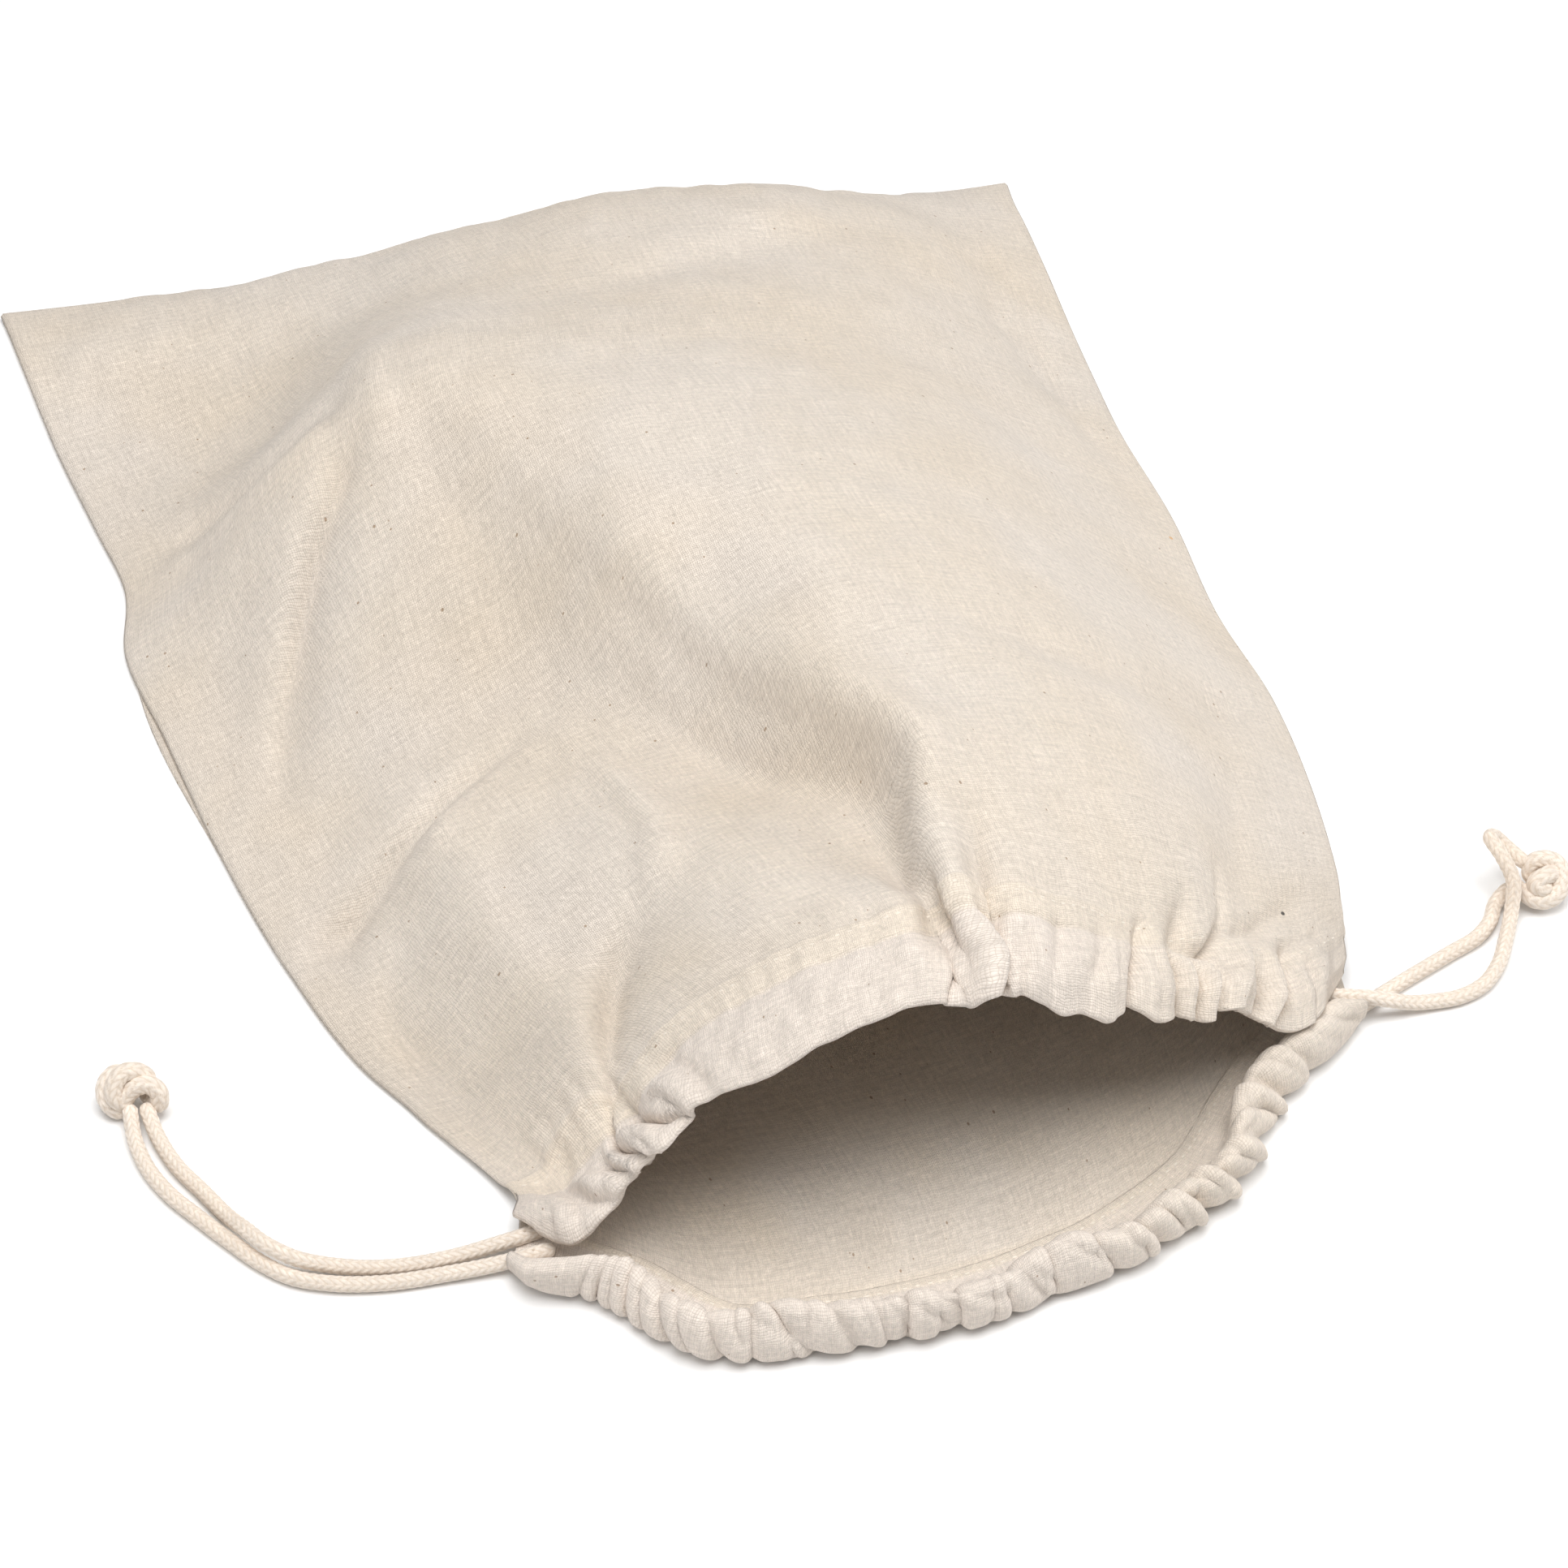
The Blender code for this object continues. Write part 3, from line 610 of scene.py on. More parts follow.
# The cloth's small unevenness. Columns: height, seed, size across.
UNEVENNESS = ((0.34, 3, 34), (0.16, 4, 12), (0.05, 6, 5))
SEAM_CALM = 14  # folds and unevenness fade out over this distance from the side seams

# Gathers of the front casing: hollows that the drawcord pulls in, and the lobes between them. Columns as
# FRONT_FOLDS, but each place has its share across, its distance from the mouth's edge and its rise.
FRONT_GATHERS = (
    # The wide end lobe at the left, and the deep hollows that spread from one place on the seam.
    (9, 8, (0.058, -6, 3.6), (0.052, 2, 3.8), (0.040, 11, 2.4), (0.030, 20, 0.6)),
    (2.4, 3, (0.108, -1, -3.2), (0.087, 4.5, -3), (0.067, 14, -1.6), (0.052, 21, -0.5)),
    (4, 4, (0.052, 24, -0.4), (0.068, 32, -1.6), (0.090, 35, -0.8)),
    (3.5, 4, (0.016, 26, -0.4), (0.028, 30, -0.9), (0.048, 36, -0.2)),
    (4, 4, (0.107, 3, 1.8), (0.088, 13, 2.6), (0.076, 22, 1.6), (0.080, 30, 0.4)),
    (1.5, 2, (0.122, -1, -2.6), (0.117, 4.5, -3.2), (0.104, 13, -2.6), (0.100, 24, -0.6)),
    (2.2, 2.2, (0.128, 1, 1.6), (0.120, 8, 1.6), (0.108, 20, 1.8), (0.108, 30, 0.6)),
    (2, 1.4, (0.138, -1, -3.4), (0.132, 4, -4.4), (0.117, 16, -5), (0.114, 27, -3), (0.124, 34, -1.4),
     (0.137, 39, -0.3)),
    (3.2, 3, (0.154, -3, 2.2), (0.143, 5, 2.8), (0.127, 19, 2.4), (0.126, 29, 1.6)),
    (2.1, 1.4, (0.176, -1, -3.2), (0.172, 4, -4.6), (0.152, 9, -4.4), (0.139, 20, -4.8), (0.137, 28, -2.8),
     (0.138, 34, -1.4), (0.143, 42, -0.4)),
    (4, 4, (0.192, 0, 1.8), (0.180, 10, 2.6), (0.160, 22, 2.4), (0.150, 31, 1)),
    (2.2, 2.6, (0.210, 0, -1.8), (0.196, 10, -2), (0.178, 22, -1.4), (0.165, 31, -0.4)),
    # Small creases on those lobes.
    (1.1, 1.2, (0.114, 1, -1.4), (0.110, 8, -1.8), (0.104, 15, -0.8)),
    (1.2, 1.2, (0.149, -1, -1.4), (0.141, 6, -2), (0.132, 13, -1.2)),
    (1.3, 1.3, (0.187, -1, -1.3), (0.172, 9, -1.9), (0.158, 18, -1.2)),
    (1.4, 1.4, (0.074, -1, -1), (0.070, 5, -1.3), (0.060, 12, -0.5)),
    # Soft ones along the calm part.
    (2.5, 4, (0.245, -3, -0.9), (0.232, 8, -1.1), (0.218, 20, -0.3)),
    (3, 3, (0.283, -3, -0.6), (0.270, 9, -0.8), (0.257, 19, -0.2)),
    (2.5, 3.5, (0.322, -3, -0.8), (0.306, 10, -1), (0.290, 20, -0.3)),
    (2.5, 3.5, (0.397, -3, -0.9), (0.368, 10, -1.2), (0.342, 19, -0.6)),
    (3, 3, (0.430, -3, -1), (0.410, 9, -1), (0.392, 19, -0.3)),
    (2, 3, (0.453, -3, -1.3), (0.444, 9, -1.2), (0.434, 20, -0.4)),
    # The pleat where the long valley comes in, and the puffed lobe beside it.
    (1.5, 1.8, (0.485, 12, -0.8), (0.481, 15, -3.2), (0.472, 22, -3.6), (0.469, 27, -3),
    (0.472, 34, -1)),
    (1.2, 1.4, (0.461, -3, -2.8), (0.463, 3, -3), (0.471, 10, -2.2), (0.475, 14, -0.8)),
    (1.2, 1.2, (0.500, 1, -0.6), (0.495, 6, -1.8), (0.491, 10, -2.2), (0.486, 13, -1.2)),
    (2.2, 2.2, (0.508, -3, 1.8), (0.510, 5, 2.4), (0.502, 12, 2.2), (0.487, 20, 1.6), (0.478, 28, 0.5)),
    (1.4, 2.2, (0.522, -3, -3), (0.525, 5, -3.6), (0.520, 10, -3.4), (0.508, 16, -2.2), (0.496, 21, -0.6)),
    (2, 3, (0.533, -3, 1.2), (0.537, 4, 1.6), (0.534, 13, 0.4)),
    (1.5, 2, (0.543, -3, -1.7), (0.552, 7, -1.3), (0.557, 14, -0.2)),
    (2, 2, (0.572, -3, -1.3), (0.584, 5, -1.1), (0.595, 14, -0.3)),
    # A calm stretch, then rounded lobes with narrow pleats between them.
    (3, 2, (0.612, -3, -1.3), (0.630, 4, -1.3), (0.648, 12, -0.8), (0.660, 20, -0.3)),
    (4, 4, (0.640, -3, 1.2), (0.652, 6, 1.2), (0.664, 12, 0.6)),
    (2.2, 1.4, (0.670, -3, -3), (0.674, 3, -3.6), (0.684, 9, -3.2), (0.691, 15, -1.2)),
    (3, 3, (0.648, 14, -0.6), (0.664, 13, -1.4), (0.686, 12, -1)),
    (4.5, 4, (0.700, -3, 2), (0.702, 4, 3), (0.706, 10, 1.8)),
    (1.3, 1.5, (0.731, -3, -2.6), (0.727, 1, -4), (0.727, 6, -4.2), (0.717, 11, -1.8)),
    (2, 2, (0.742, -3, 1.8), (0.742, 5, 2.4), (0.735, 12, 0.6)),
    (1.2, 1.5, (0.754, -3, -3), (0.758, 2, -4.2), (0.757, 6, -4.2), (0.744, 10, -1.4)),
    (2, 2, (0.769, -3, 2), (0.771, 5, 2.8), (0.765, 10, 1.4)),
    (1.5, 2, (0.783, -3, -4), (0.785, 5, -4.8), (0.777, 12, -4), (0.790, 18, -4.4), (0.806, 23, -3.1),
     (0.813, 29, -1.8), (0.824, 46, -0.7)),
    (2.6, 2.6, (0.742, 13, -2.6), (0.758, 12.4, -3.6), (0.774, 12.4, -3.4)),
    (4, 4, (0.735, 13, -2.9), (0.748, 18, -3.9), (0.762, 25, -1.6)),
    (4.5, 4.5, (0.806, -2, 2.9), (0.806, 3, 4.2), (0.813, 10, 5.5), (0.817, 16, 4.4)),
    (2.6, 2.6, (0.823, -3, -3.9), (0.823, 3, -1.6)),
    (1.7, 1.6, (0.840, -3, -4), (0.846, 6, -5), (0.846, 12, -4.6), (0.832, 18, -2.1)),
    (2.4, 2.4, (0.857, -3, 2), (0.867, 8, 3.2), (0.865, 17, 2.2)),
    (1.3, 1.3, (0.846, 1, -1.3), (0.850, 5, -2.9), (0.853, 9, -1.6)),
    (1.8, 1.8, (0.864, -3, -3.6), (0.880, 4, -4.4), (0.888, 12, -4), (0.898, 20, -1.6)),
    # Small creases on those lobes, the wide end lobe, and where the lobes run out into the panel.
    (1.4, 1.6, (0.925, -2, -1.3), (0.917, 7, -1.5), (0.915, 15, -0.5)),
    (1.2, 1.4, (0.812, -2, -1.2), (0.818, 6, -1.5), (0.822, 13, -0.7)),
    (1.2, 1.4, (0.700, -2, -1.1), (0.698, 5, -1.3), (0.694, 11, -0.5)),
    (1.3, 1.4, (0.650, -2, -0.8), (0.655, 5, -0.9), (0.662, 11, -0.4)),
    (10, 8, (0.925, -3, 4.7), (0.932, 8, 5.2), (0.936, 18, 3.1)),
    (3, 3, (0.896, 21, -2.1), (0.945, 26, -1.3)),
    (3, 3, (0.800, 21, -1.6), (0.835, 24.5, -2.3), (0.863, 28, -2), (0.930, 42, -0.7)),
)
# Where the casing lies on the solid, which is cut straighter. Columns: place across, then the distances from
# the solid's mouth edge of the cloth's own mouth edge (below zero where it reaches past) and of its seam.
CASING_PLACE = (
    (0, 5, 30), (0.012, 1, 31), (0.025, -3.5, 33), (0.05, -6, 36), (0.075, -4, 40), (0.09, -1, 41),
    (0.105, 1.5, 41),
    (0.115, 3, 41), (0.124, 2, 40), (0.133, 3.5, 39), (0.142, 1.5, 38.5), (0.153, -1.5, 38),
    (0.163, 0, 37.5),
    (0.173, 3, 37), (0.19, 3.5, 36), (0.21, 2, 35.5), (0.25, -1, 33), (0.30, -1, 31), (0.35, -1, 28.5),
    (0.45, -1, 28), (0.50, -2.5, 27), (0.53, -1.2, 24.5), (0.56, -3.4, 22), (0.58, -5.6, 20), (0.62, -6, 19),
    (0.643, -6, 18.5), (0.66, -4.4, 17), (0.672, -3.2, 16.5), (0.695, -4.6, 16), (0.712, -4.4, 16),
    (0.728, -3, 16.5),
    (0.76, -3, 18), (0.775, -2.4, 19), (0.79, -0.8, 20), (0.835, 0, 21), (0.86, -2, 21), (0.907, -3.6, 21),
    (0.96, -3.2, 22), (1, -1.5, 24),
)
MEETS_SOLID = 72.0  # distance from the mouth's edge where the cloth lies on the solid again
ROW_STEP = 0.5  # the solid is read this closely up to there
FRONT_CLOSE = 0.22  # how far the casing's lobes close over the hollows between them
MOST_CLOSED = 0.67  # share of its width by which a hollow narrows at most, so that its sides never cross


def from_ends(across):
    """Share of the width between a place across a panel and the nearer side seam."""
    return np.minimum(across, 1 - across)


def fold_rise(x, y, folds):
    """Height that the folds add at each place: soft ridges and troughs, each along its own curve."""
    rise = np.zeros_like(x)
    for left_width, right_width, *places in folds:
        at = np.linspace(0, 1, 6 * len(places))
        route = along(np.linspace(0, 1, len(places)), places, at)
        nearest = np.full_like(x, np.inf)
        height = np.zeros_like(x)
        side = np.zeros_like(x)
        for (x0, y0, rise0), (x1, y1, rise1) in zip(route[:-1], route[1:]):
            run_x, run_y = x1 - x0, y1 - y0
            dx, dy = x - x0, y - y0
            t = np.clip((dx * run_x + dy * run_y) / (run_x**2 + run_y**2), 0, 1)
            apart = np.hypot(dx - t * run_x, dy - t * run_y)
            closer = apart < nearest
            nearest = np.where(closer, apart, nearest)
            height = np.where(closer, rise0 + t * (rise1 - rise0), height)
            # 1 on the left and -1 on the right, and in between round the ends.
            turn = (run_x * dy - run_y * dx) / (math.hypot(run_x, run_y) * np.maximum(apart, 1e-6))
            side = np.where(closer, turn, side)
        width = right_width + (left_width - right_width) * (1 + side) / 2
        rise += height * np.exp(-((nearest / width) ** 2))
    return rise


def ripple(x, y, seed, size, waves=14):
    """Soft unevenness of handled cloth, about 1 either way, with hollows and swells of the given size."""
    dice = np.random.default_rng(seed)
    total = np.zeros_like(x)
    for angle, phase, length in zip(*dice.uniform((0, 0, 0.7), (2 * np.pi, 2 * np.pi, 1.6), (waves, 3)).T):
        step = 2 * np.pi / (size * length)
        total += np.sin(step * (x * math.cos(angle) + y * math.sin(angle)) + phase)
    return total / math.sqrt(waves / 2)


def front_depth():
    """Length of the front panel in plan, along its middle."""
    return np.abs(np.diff(np.array(FRONT_SECTIONS, float)[:, 4])).sum()


def front_surface(across, from_mouth):
    """Underside of the front panel at shares across it and distances in plan from the mouth's edge."""
    sections = np.array(FRONT_SECTIONS, float)
    places = np.concatenate(([0], np.cumsum(np.abs(np.diff(sections[:, 4])))))
    rows = along(places, sections, from_mouth)
    height = along(STATIONS, rows[:, 5:].T, across).T
    left_x, left_y, right_x, right_y, middle_y = (rows[:, k : k + 1] for k in range(5))
    bow = 1 - (2 * across - 1) ** 4
    x = left_x + (right_x - left_x) * across
    y = left_y + (right_y - left_y) * across + (middle_y - (left_y + right_y) / 2) * bow
    from_seam = from_ends(across) * (right_x - left_x)
    uneven = sum(most * ripple(x, y, seed, size) for most, seed, size in UNEVENNESS)
    rise = fold_rise(x, y, FRONT_FOLDS + FRONT_CREASES) + uneven
    z = height + rise * np.clip(from_seam / SEAM_CALM, 0, 1)
    return np.stack((x, y, np.maximum(z, SOLID_THICK + SOLID_GAP)), -1)


def surface_axes(points):
    """At each point of a grid, unit vectors across it, along it and square to it, the last one upward."""
    across = np.gradient(points, axis=1)
    onward = np.gradient(points, axis=0)
    upward = np.cross(across, onward)
    return [v / np.linalg.norm(v, axis=-1, keepdims=True) for v in (across, onward, upward)]


def placed_gathers(rows, across, places):
    """A casing's gathers with their shares across turned into distances along the casing."""
    return [
        (left, right, *((np.interp(share, across, places), other, rise) for share, other, rise in line))
        for left, right, *line in rows
    ]


def gathers(x, y, folds, close):
    """Rise of the folds at places along and across a casing, and the shift both ways that closes them."""
    rise = fold_rise(x, y, folds)
    step = 0.5
    shifts = []
    for step_x, step_y, part in ((step, 0, 1.0), (0, step, 0.5)):
        before = fold_rise(x - step_x, y - step_y, folds)
        after = fold_rise(x + step_x, y + step_y, folds)
        bend = np.maximum((before + after - 2 * rise) / step**2, 0.01)
        shifts.append(-np.minimum(part * close, MOST_CLOSED / bend) * (after - before) / (2 * step))
    return rise, *shifts


def grid_faces(rows, columns, base=0):
    """The four-sided faces of a grid whose points are counted row by row from base."""
    starts = [base + i * columns + j for i in range(rows - 1) for j in range(columns - 1)]
    return [(a, a + 1, a + columns + 1, a + columns) for a in starts]


def cloth_mesh(name, fine, coarse, fine_flat, coarse_flat):
    """One sheet of cloth: a fine grid, then a coarse one with every other column, joined in one mesh.

    The flat grids give each point's place on the cloth as cut. The sheet is then given its thickness.
    """
    rows, columns = fine.shape[:2]
    more, fewer = coarse.shape[:2]
    last, base = (rows - 1) * columns, rows * columns
    joint = []
    for j in range(fewer - 1):
        a, b = last + 2 * j, base + j
        joint.append((a, a + 1, a + 2, b + 1, b))
    faces = grid_faces(rows, columns) + joint + grid_faces(more, fewer, base)
    points = np.concatenate((fine.reshape(-1, 3), coarse.reshape(-1, 3)))
    flat = np.concatenate((fine_flat.reshape(-1, 2), coarse_flat.reshape(-1, 2)))
    sheet = add_piece(name, points, faces, UNDYED_CLOTH, "cloth_mm", flat)
    shell = sheet.modifiers.new("thickness", "SOLIDIFY")
    shell.thickness = CLOTH_THICK * MM
    shell.offset = 0
    return sheet


FINE_COLUMNS = 360
# Rows of the casing's outer layer before its turned-in edge, of its inner layer and round its lip.
CHANNEL_ROWS, INNER_ROWS, LIP_ROWS = 22, 9, 4
EDGE_ROWS, SEAM_ROWS = (22, 24, 26, 27), (22, 24, 26, 27.2, 27.8, 28.3, 29.2)  # turned-in edge, outer layer
# Heights over the panel's underside: the turned-in edge, its fold and the inner layer, then the lip's
# middle, the outer layer and the single cloth beyond.
EDGE_HEIGHT, FOLD_HEIGHT, INNER_HEIGHT = 0.75, 0.55, 0.3
LIP_HEIGHT, OUTER_HEIGHT, SINGLE_HEIGHT = 1.0, 1.5, 0.9
LIP_ROUND, LIP_TURN = 0.7, 70  # half the rounded lip's height, and how far its rows turn, in degrees
CHANNEL_RISE = 2.0  # how far the drawcord lifts the outer layer
THIRD_LAYER = 0.5  # rise where the cloth lies three deep, past the turned-in edge
STEP_BEFORE, STEP_PAST = 0.3, 0.4  # that step lies between these distances before and past the edge
SEAM_STEP, SEAM_AT, SEAM_RUN = 1.0, 27.6, 0.8  # step down at the seam, where it starts, and its width
STITCH_AT, STITCH_DENT, DENT_WIDTH = 26, 0.45, 0.9  # where the stitches run, and the groove they pull in
INNER_DEEPEST = 0.8  # share of a hollow that the layers inside follow
PUCKERS = 0.2, 5, 8  # height, seed and size of the casing's small puckers
PUCKER_SHARES = ((0, 18, 28, 40), (0.6, 1, 1, 0))  # distances from the mouth's edge, and shares there
SEAM_LOST = (0.58, 0.12)  # from here across, over this share, the seam is lost between the folds
LOST_HEIGHTS = ((1.6, 8, 16, 46), (1.6, 3.2, 2.8, 0.9))  # distances from the mouth's edge, and heights
LIP_LEAN = 9  # the lobes lean over within this distance of the mouth's edge
LEAN_OUT, LEAN_IN, LEAN_FLAT = 0.3, 0.45, 0.35  # for a lobe and for a hollow, and how far a hollow levels
# Columns: outward and down, for the cloth rolled under at a side seam and at the far one.
SIDE_ROLL = ((0.45, -0.25), (0.65, -0.75), (0.2, -1.15), (-3.0, -1.25))
FAR_ROLL = ((0.5, -0.3), (0.6, -0.8), (-3, -1.2))
FAR_ROLL_V = (0.7, 1.4, 4)  # distances along the cloth past the far seam
ROLL_STEP = 0.7  # from one column of the rolled cloth to the next, along it
SIDE_FROM, SIDE_RUN = 22, 8  # distance from the mouth's edge where the sides start to turn, and over which
# Close rows past the casing's seam, as from, to and count, then wider ones, and closer ones at the far seam.
CLOSE_ROWS = (30.5, 46, 9)
COARSE_FROM, COARSE_ROWS = 48, 136
FAR_TURN, FAR_ROWS = 6, 5
SMOOTH_TO = 60  # up to here the wider rows follow the deepest of the gathers near them


def front_casing_layers():
    """Rows of the front casing's cloth, from the raw edge folded inside, round the mouth, to past the seam.

    Each row has its distance from the mouth's edge, its height over the panel's underside, and its
    distance along the cloth from the mouth's edge (below zero inside).
    """
    turned = CASING_DEPTH - TURNED_IN
    rows = [(f, EDGE_HEIGHT, -(2 * CASING_DEPTH - f)) for f in (turned, *EDGE_ROWS)]
    rows.append((CASING_DEPTH - 0.2, FOLD_HEIGHT, -CASING_DEPTH - 0.5))
    rows += [(f, INNER_HEIGHT, -f) for f in np.linspace(CASING_DEPTH - 1, 2.0, INNER_ROWS)]
    for angle in np.linspace(-LIP_TURN, LIP_TURN, LIP_ROWS):
        round_lip = math.radians(angle)
        rows.append((1 - math.cos(round_lip), LIP_HEIGHT + LIP_ROUND * math.sin(round_lip), 0.01 * angle))
    channel_rows = np.linspace(1.6, turned - 1, CHANNEL_ROWS)
    for f in np.concatenate((channel_rows, (turned - STEP_BEFORE, turned + STEP_PAST), SEAM_ROWS)):
        channel = CHANNEL_RISE * math.sin(math.pi * np.clip(f / (turned - STEP_BEFORE), 0, 1)) ** 0.7
        third = THIRD_LAYER * np.clip((f - turned + STEP_BEFORE) / (STEP_BEFORE + STEP_PAST), 0, 1)
        seam = SEAM_STEP * np.clip((f - SEAM_AT) / SEAM_RUN, 0, 1)
        dent = STITCH_DENT * math.exp(-(((f - STITCH_AT) / DENT_WIDTH) ** 2))
        rows.append((f, OUTER_HEIGHT + channel + third - seam - dent, f))
    return np.array(rows)


def read_rows(grid, rows_at, at):
    """A grid's values at places along its columns, read straight between its rows."""
    low = np.clip(np.searchsorted(rows_at, at, side="right") - 1, 0, len(rows_at) - 2)
    part = ((at - rows_at[low]) / (rows_at[low + 1] - rows_at[low]))[..., None]
    column = np.arange(grid.shape[1])[None, :]
    return grid[low, column] * (1 - part) + grid[low + 1, column] * part


def on_solid(across, f):
    """Where distances from the cloth's mouth edge lie on the solid. Further on the two are the same."""
    edge, seam = along([row[0] for row in CASING_PLACE], [row[1:] for row in CASING_PLACE], across).T
    f = np.asarray(f, float)[:, None]
    within = edge + np.maximum(f, 0) / CASING_DEPTH * (seam - edge)
    back = np.clip((MEETS_SOLID - f) / (MEETS_SOLID - CASING_DEPTH), 0, 1)
    return np.where(f < CASING_DEPTH, within, f + (seam - CASING_DEPTH) * back * back * (3 - 2 * back))


def front_grid(across, f, height, share, outer):
    """Points of the front panel's cloth at each place across and row, with this share of the gathers."""
    close_rows = np.arange(0, MEETS_SOLID, ROW_STEP)
    rows_at = np.concatenate((close_rows, np.linspace(MEETS_SOLID, front_depth(), 130)))
    solid = front_surface(across, rows_at)
    at = on_solid(across, f)
    on_edge = np.maximum(at, 0)
    past = np.minimum(at, 0)
    ahead = (solid[6] - solid[0]) / rows_at[6]  # the way on, past the solid's own edge
    base = read_rows(solid, rows_at, on_edge) + ahead * past[..., None]
    base[..., 2] += 0.5 * past * np.clip(-past / 3, 0, 1)  # the cloth droops where it reaches past the solid
    side, onward, upward = (read_rows(axis, rows_at, on_edge) for axis in surface_axes(solid))
    places = distances(solid[round(CASING_DEPTH / 2 / ROW_STEP)])  # along the middle of the casing
    folds = placed_gathers(FRONT_GATHERS, across, places)
    spread = np.broadcast_to(places, at.shape)
    rise, shift, slip = gathers(spread, np.maximum(at, -2.5), folds, FRONT_CLOSE)
    # The layers inside, which have fewer rows, stay under the outer one in its hollows.
    nearby = [fold_rise(spread, np.maximum(at + step, -2.5), folds) for step in (-1.6, 0, 1.6)]
    deepest = np.minimum.reduce(nearby)
    rise = np.where(outer[:, None], rise, np.minimum(deepest, INNER_DEEPEST * deepest))
    most, seed, size = PUCKERS
    pucker = most * ripple(spread, 0.5 * at, seed, size) * np.interp(f, *PUCKER_SHARES)[:, None]
    unseen = np.clip((across - SEAM_LOST[0]) / SEAM_LOST[1], 0, 1) * outer[:, None]
    height = height[:, None] * (1 - unseen) + np.interp(f, *LOST_HEIGHTS)[:, None] * unseen
    at_end = np.where(outer[:, None], OUTER_HEIGHT + 100 * across, 10)  # no channel at the left end
    raised = np.minimum(height, at_end) + share[:, None] * (rise + pucker)
    at_lip = share[:, None] * np.clip(1 - f / LIP_LEAN, 0, 1)[:, None]
    forward = np.where(rise > 0, LEAN_OUT, LEAN_IN) * rise * at_lip
    raised = raised - LEAN_FLAT * np.minimum(rise, 0) * at_lip
    points = base + upward * raised[..., None] - onward * (forward - share[:, None] * slip)[..., None]
    points[..., 2] -= 0.5 * forward
    return points + side * (share[:, None] * shift)[..., None]


def with_turned_sides(points, flat, fade):
    """The grid with four more columns at each side, which a seam turns down and in where fade is 1."""
    turned_edges, turned_flats = [], []
    for edge, inner, sign in ((0, 1, -1), (-1, -2, 1)):
        outward = unit((points[:, edge] - points[:, inner]) * (1, 1, 0))
        columns, flats = [], []
        for k, (out, down) in enumerate(SIDE_ROLL, 1):
            moved = points[:, edge] + outward * (out * fade + 0.02 * k * (1 - fade))[:, None]
            moved[:, 2] = np.maximum(moved[:, 2] + down * fade, SOLID_THICK + SOLID_GAP - 0.4)
            columns.append(moved)
            flats.append(flat[:, edge] + (ROLL_STEP * k * sign, 0))
        turned_edges.append(np.stack(columns[::sign], 1))
        turned_flats.append(np.stack(flats[::sign], 1))
    points = np.concatenate((turned_edges[0], points, turned_edges[1]), 1)
    return points, np.concatenate((turned_flats[0], flat, turned_flats[1]), 1)


def on_cloth(across, v):
    """Places on the flat cloth, in millimetres, of a grid's columns and rows."""
    return np.stack(np.broadcast_arrays(across[None, :] * PANEL_WIDTH, v[:, None]), -1)


def add_front_panel():
    """The front panel's cloth as one sheet. Returns it, and its casing's outer rows with their places."""
    depth = front_depth()
    across = np.linspace(0, 1, FINE_COLUMNS + 1)
    casing_f, casing_height, casing_v = front_casing_layers().T
    beyond = np.linspace(*CLOSE_ROWS)
    fine_f = np.concatenate((casing_f, beyond))
    fine_v = np.concatenate((casing_v, beyond))
    fine_height = np.concatenate((casing_height, np.full(len(beyond), SINGLE_HEIGHT)))
    outer = fine_v > 0
    wide_rows = np.linspace(COARSE_FROM, depth - FAR_TURN - 2, COARSE_ROWS)
    coarse_f = np.concatenate((wide_rows, np.linspace(depth - FAR_TURN, depth, FAR_ROWS)))
    coarse_height = np.full(len(coarse_f), SINGLE_HEIGHT)
    coarse_share = np.clip(2 - coarse_f / COARSE_FROM, 0, 1)
    fine = front_grid(across, fine_f, fine_height, np.ones(len(fine_f)), outer)
    coarse = front_grid(across, coarse_f, coarse_height, coarse_share, coarse_f > SMOOTH_TO)
    step = np.linalg.norm(np.diff(coarse[:, 40:320:20], axis=0), axis=2).mean(1)
    coarse_v = COARSE_FROM + np.concatenate(([0], np.cumsum(step)))
    far_edge = unit(coarse[-1] - coarse[-2])
    far_rows = [coarse[-1] + far_edge * out + (0, 0, down) for out, down in FAR_ROLL]
    coarse = np.concatenate((coarse, far_rows))
    coarse_v = np.concatenate((coarse_v, coarse_v[-1] + FAR_ROLL_V))
    fade = np.clip((fine_f - SIDE_FROM) / SIDE_RUN, 0, 1) * (fine_v >= -1)
    fine, fine_flat = with_turned_sides(fine, on_cloth(across, fine_v), fade)
    coarse, coarse_flat = with_turned_sides(coarse, on_cloth(across, coarse_v), np.ones(len(coarse)))
    panel = cloth_mesh("front_cloth", fine, coarse[:, ::2], fine_flat, coarse_flat[:, ::2])
    inset = len(SIDE_ROLL)
    return panel, fine[outer, inset:-inset], fine_v[outer]


front_cloth, front_outer, front_outer_v = add_front_panel()
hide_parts("front_panel")


# ---- Back panel
# The lower panel lies flat on the surface. Its mouth edge is turned in twice as the front one's is, and
# the drawcord draws the casing up into a ruffled roll that stands round the mouth.

BACK_LIFT = 0.35  # middle of the cloth over the surface

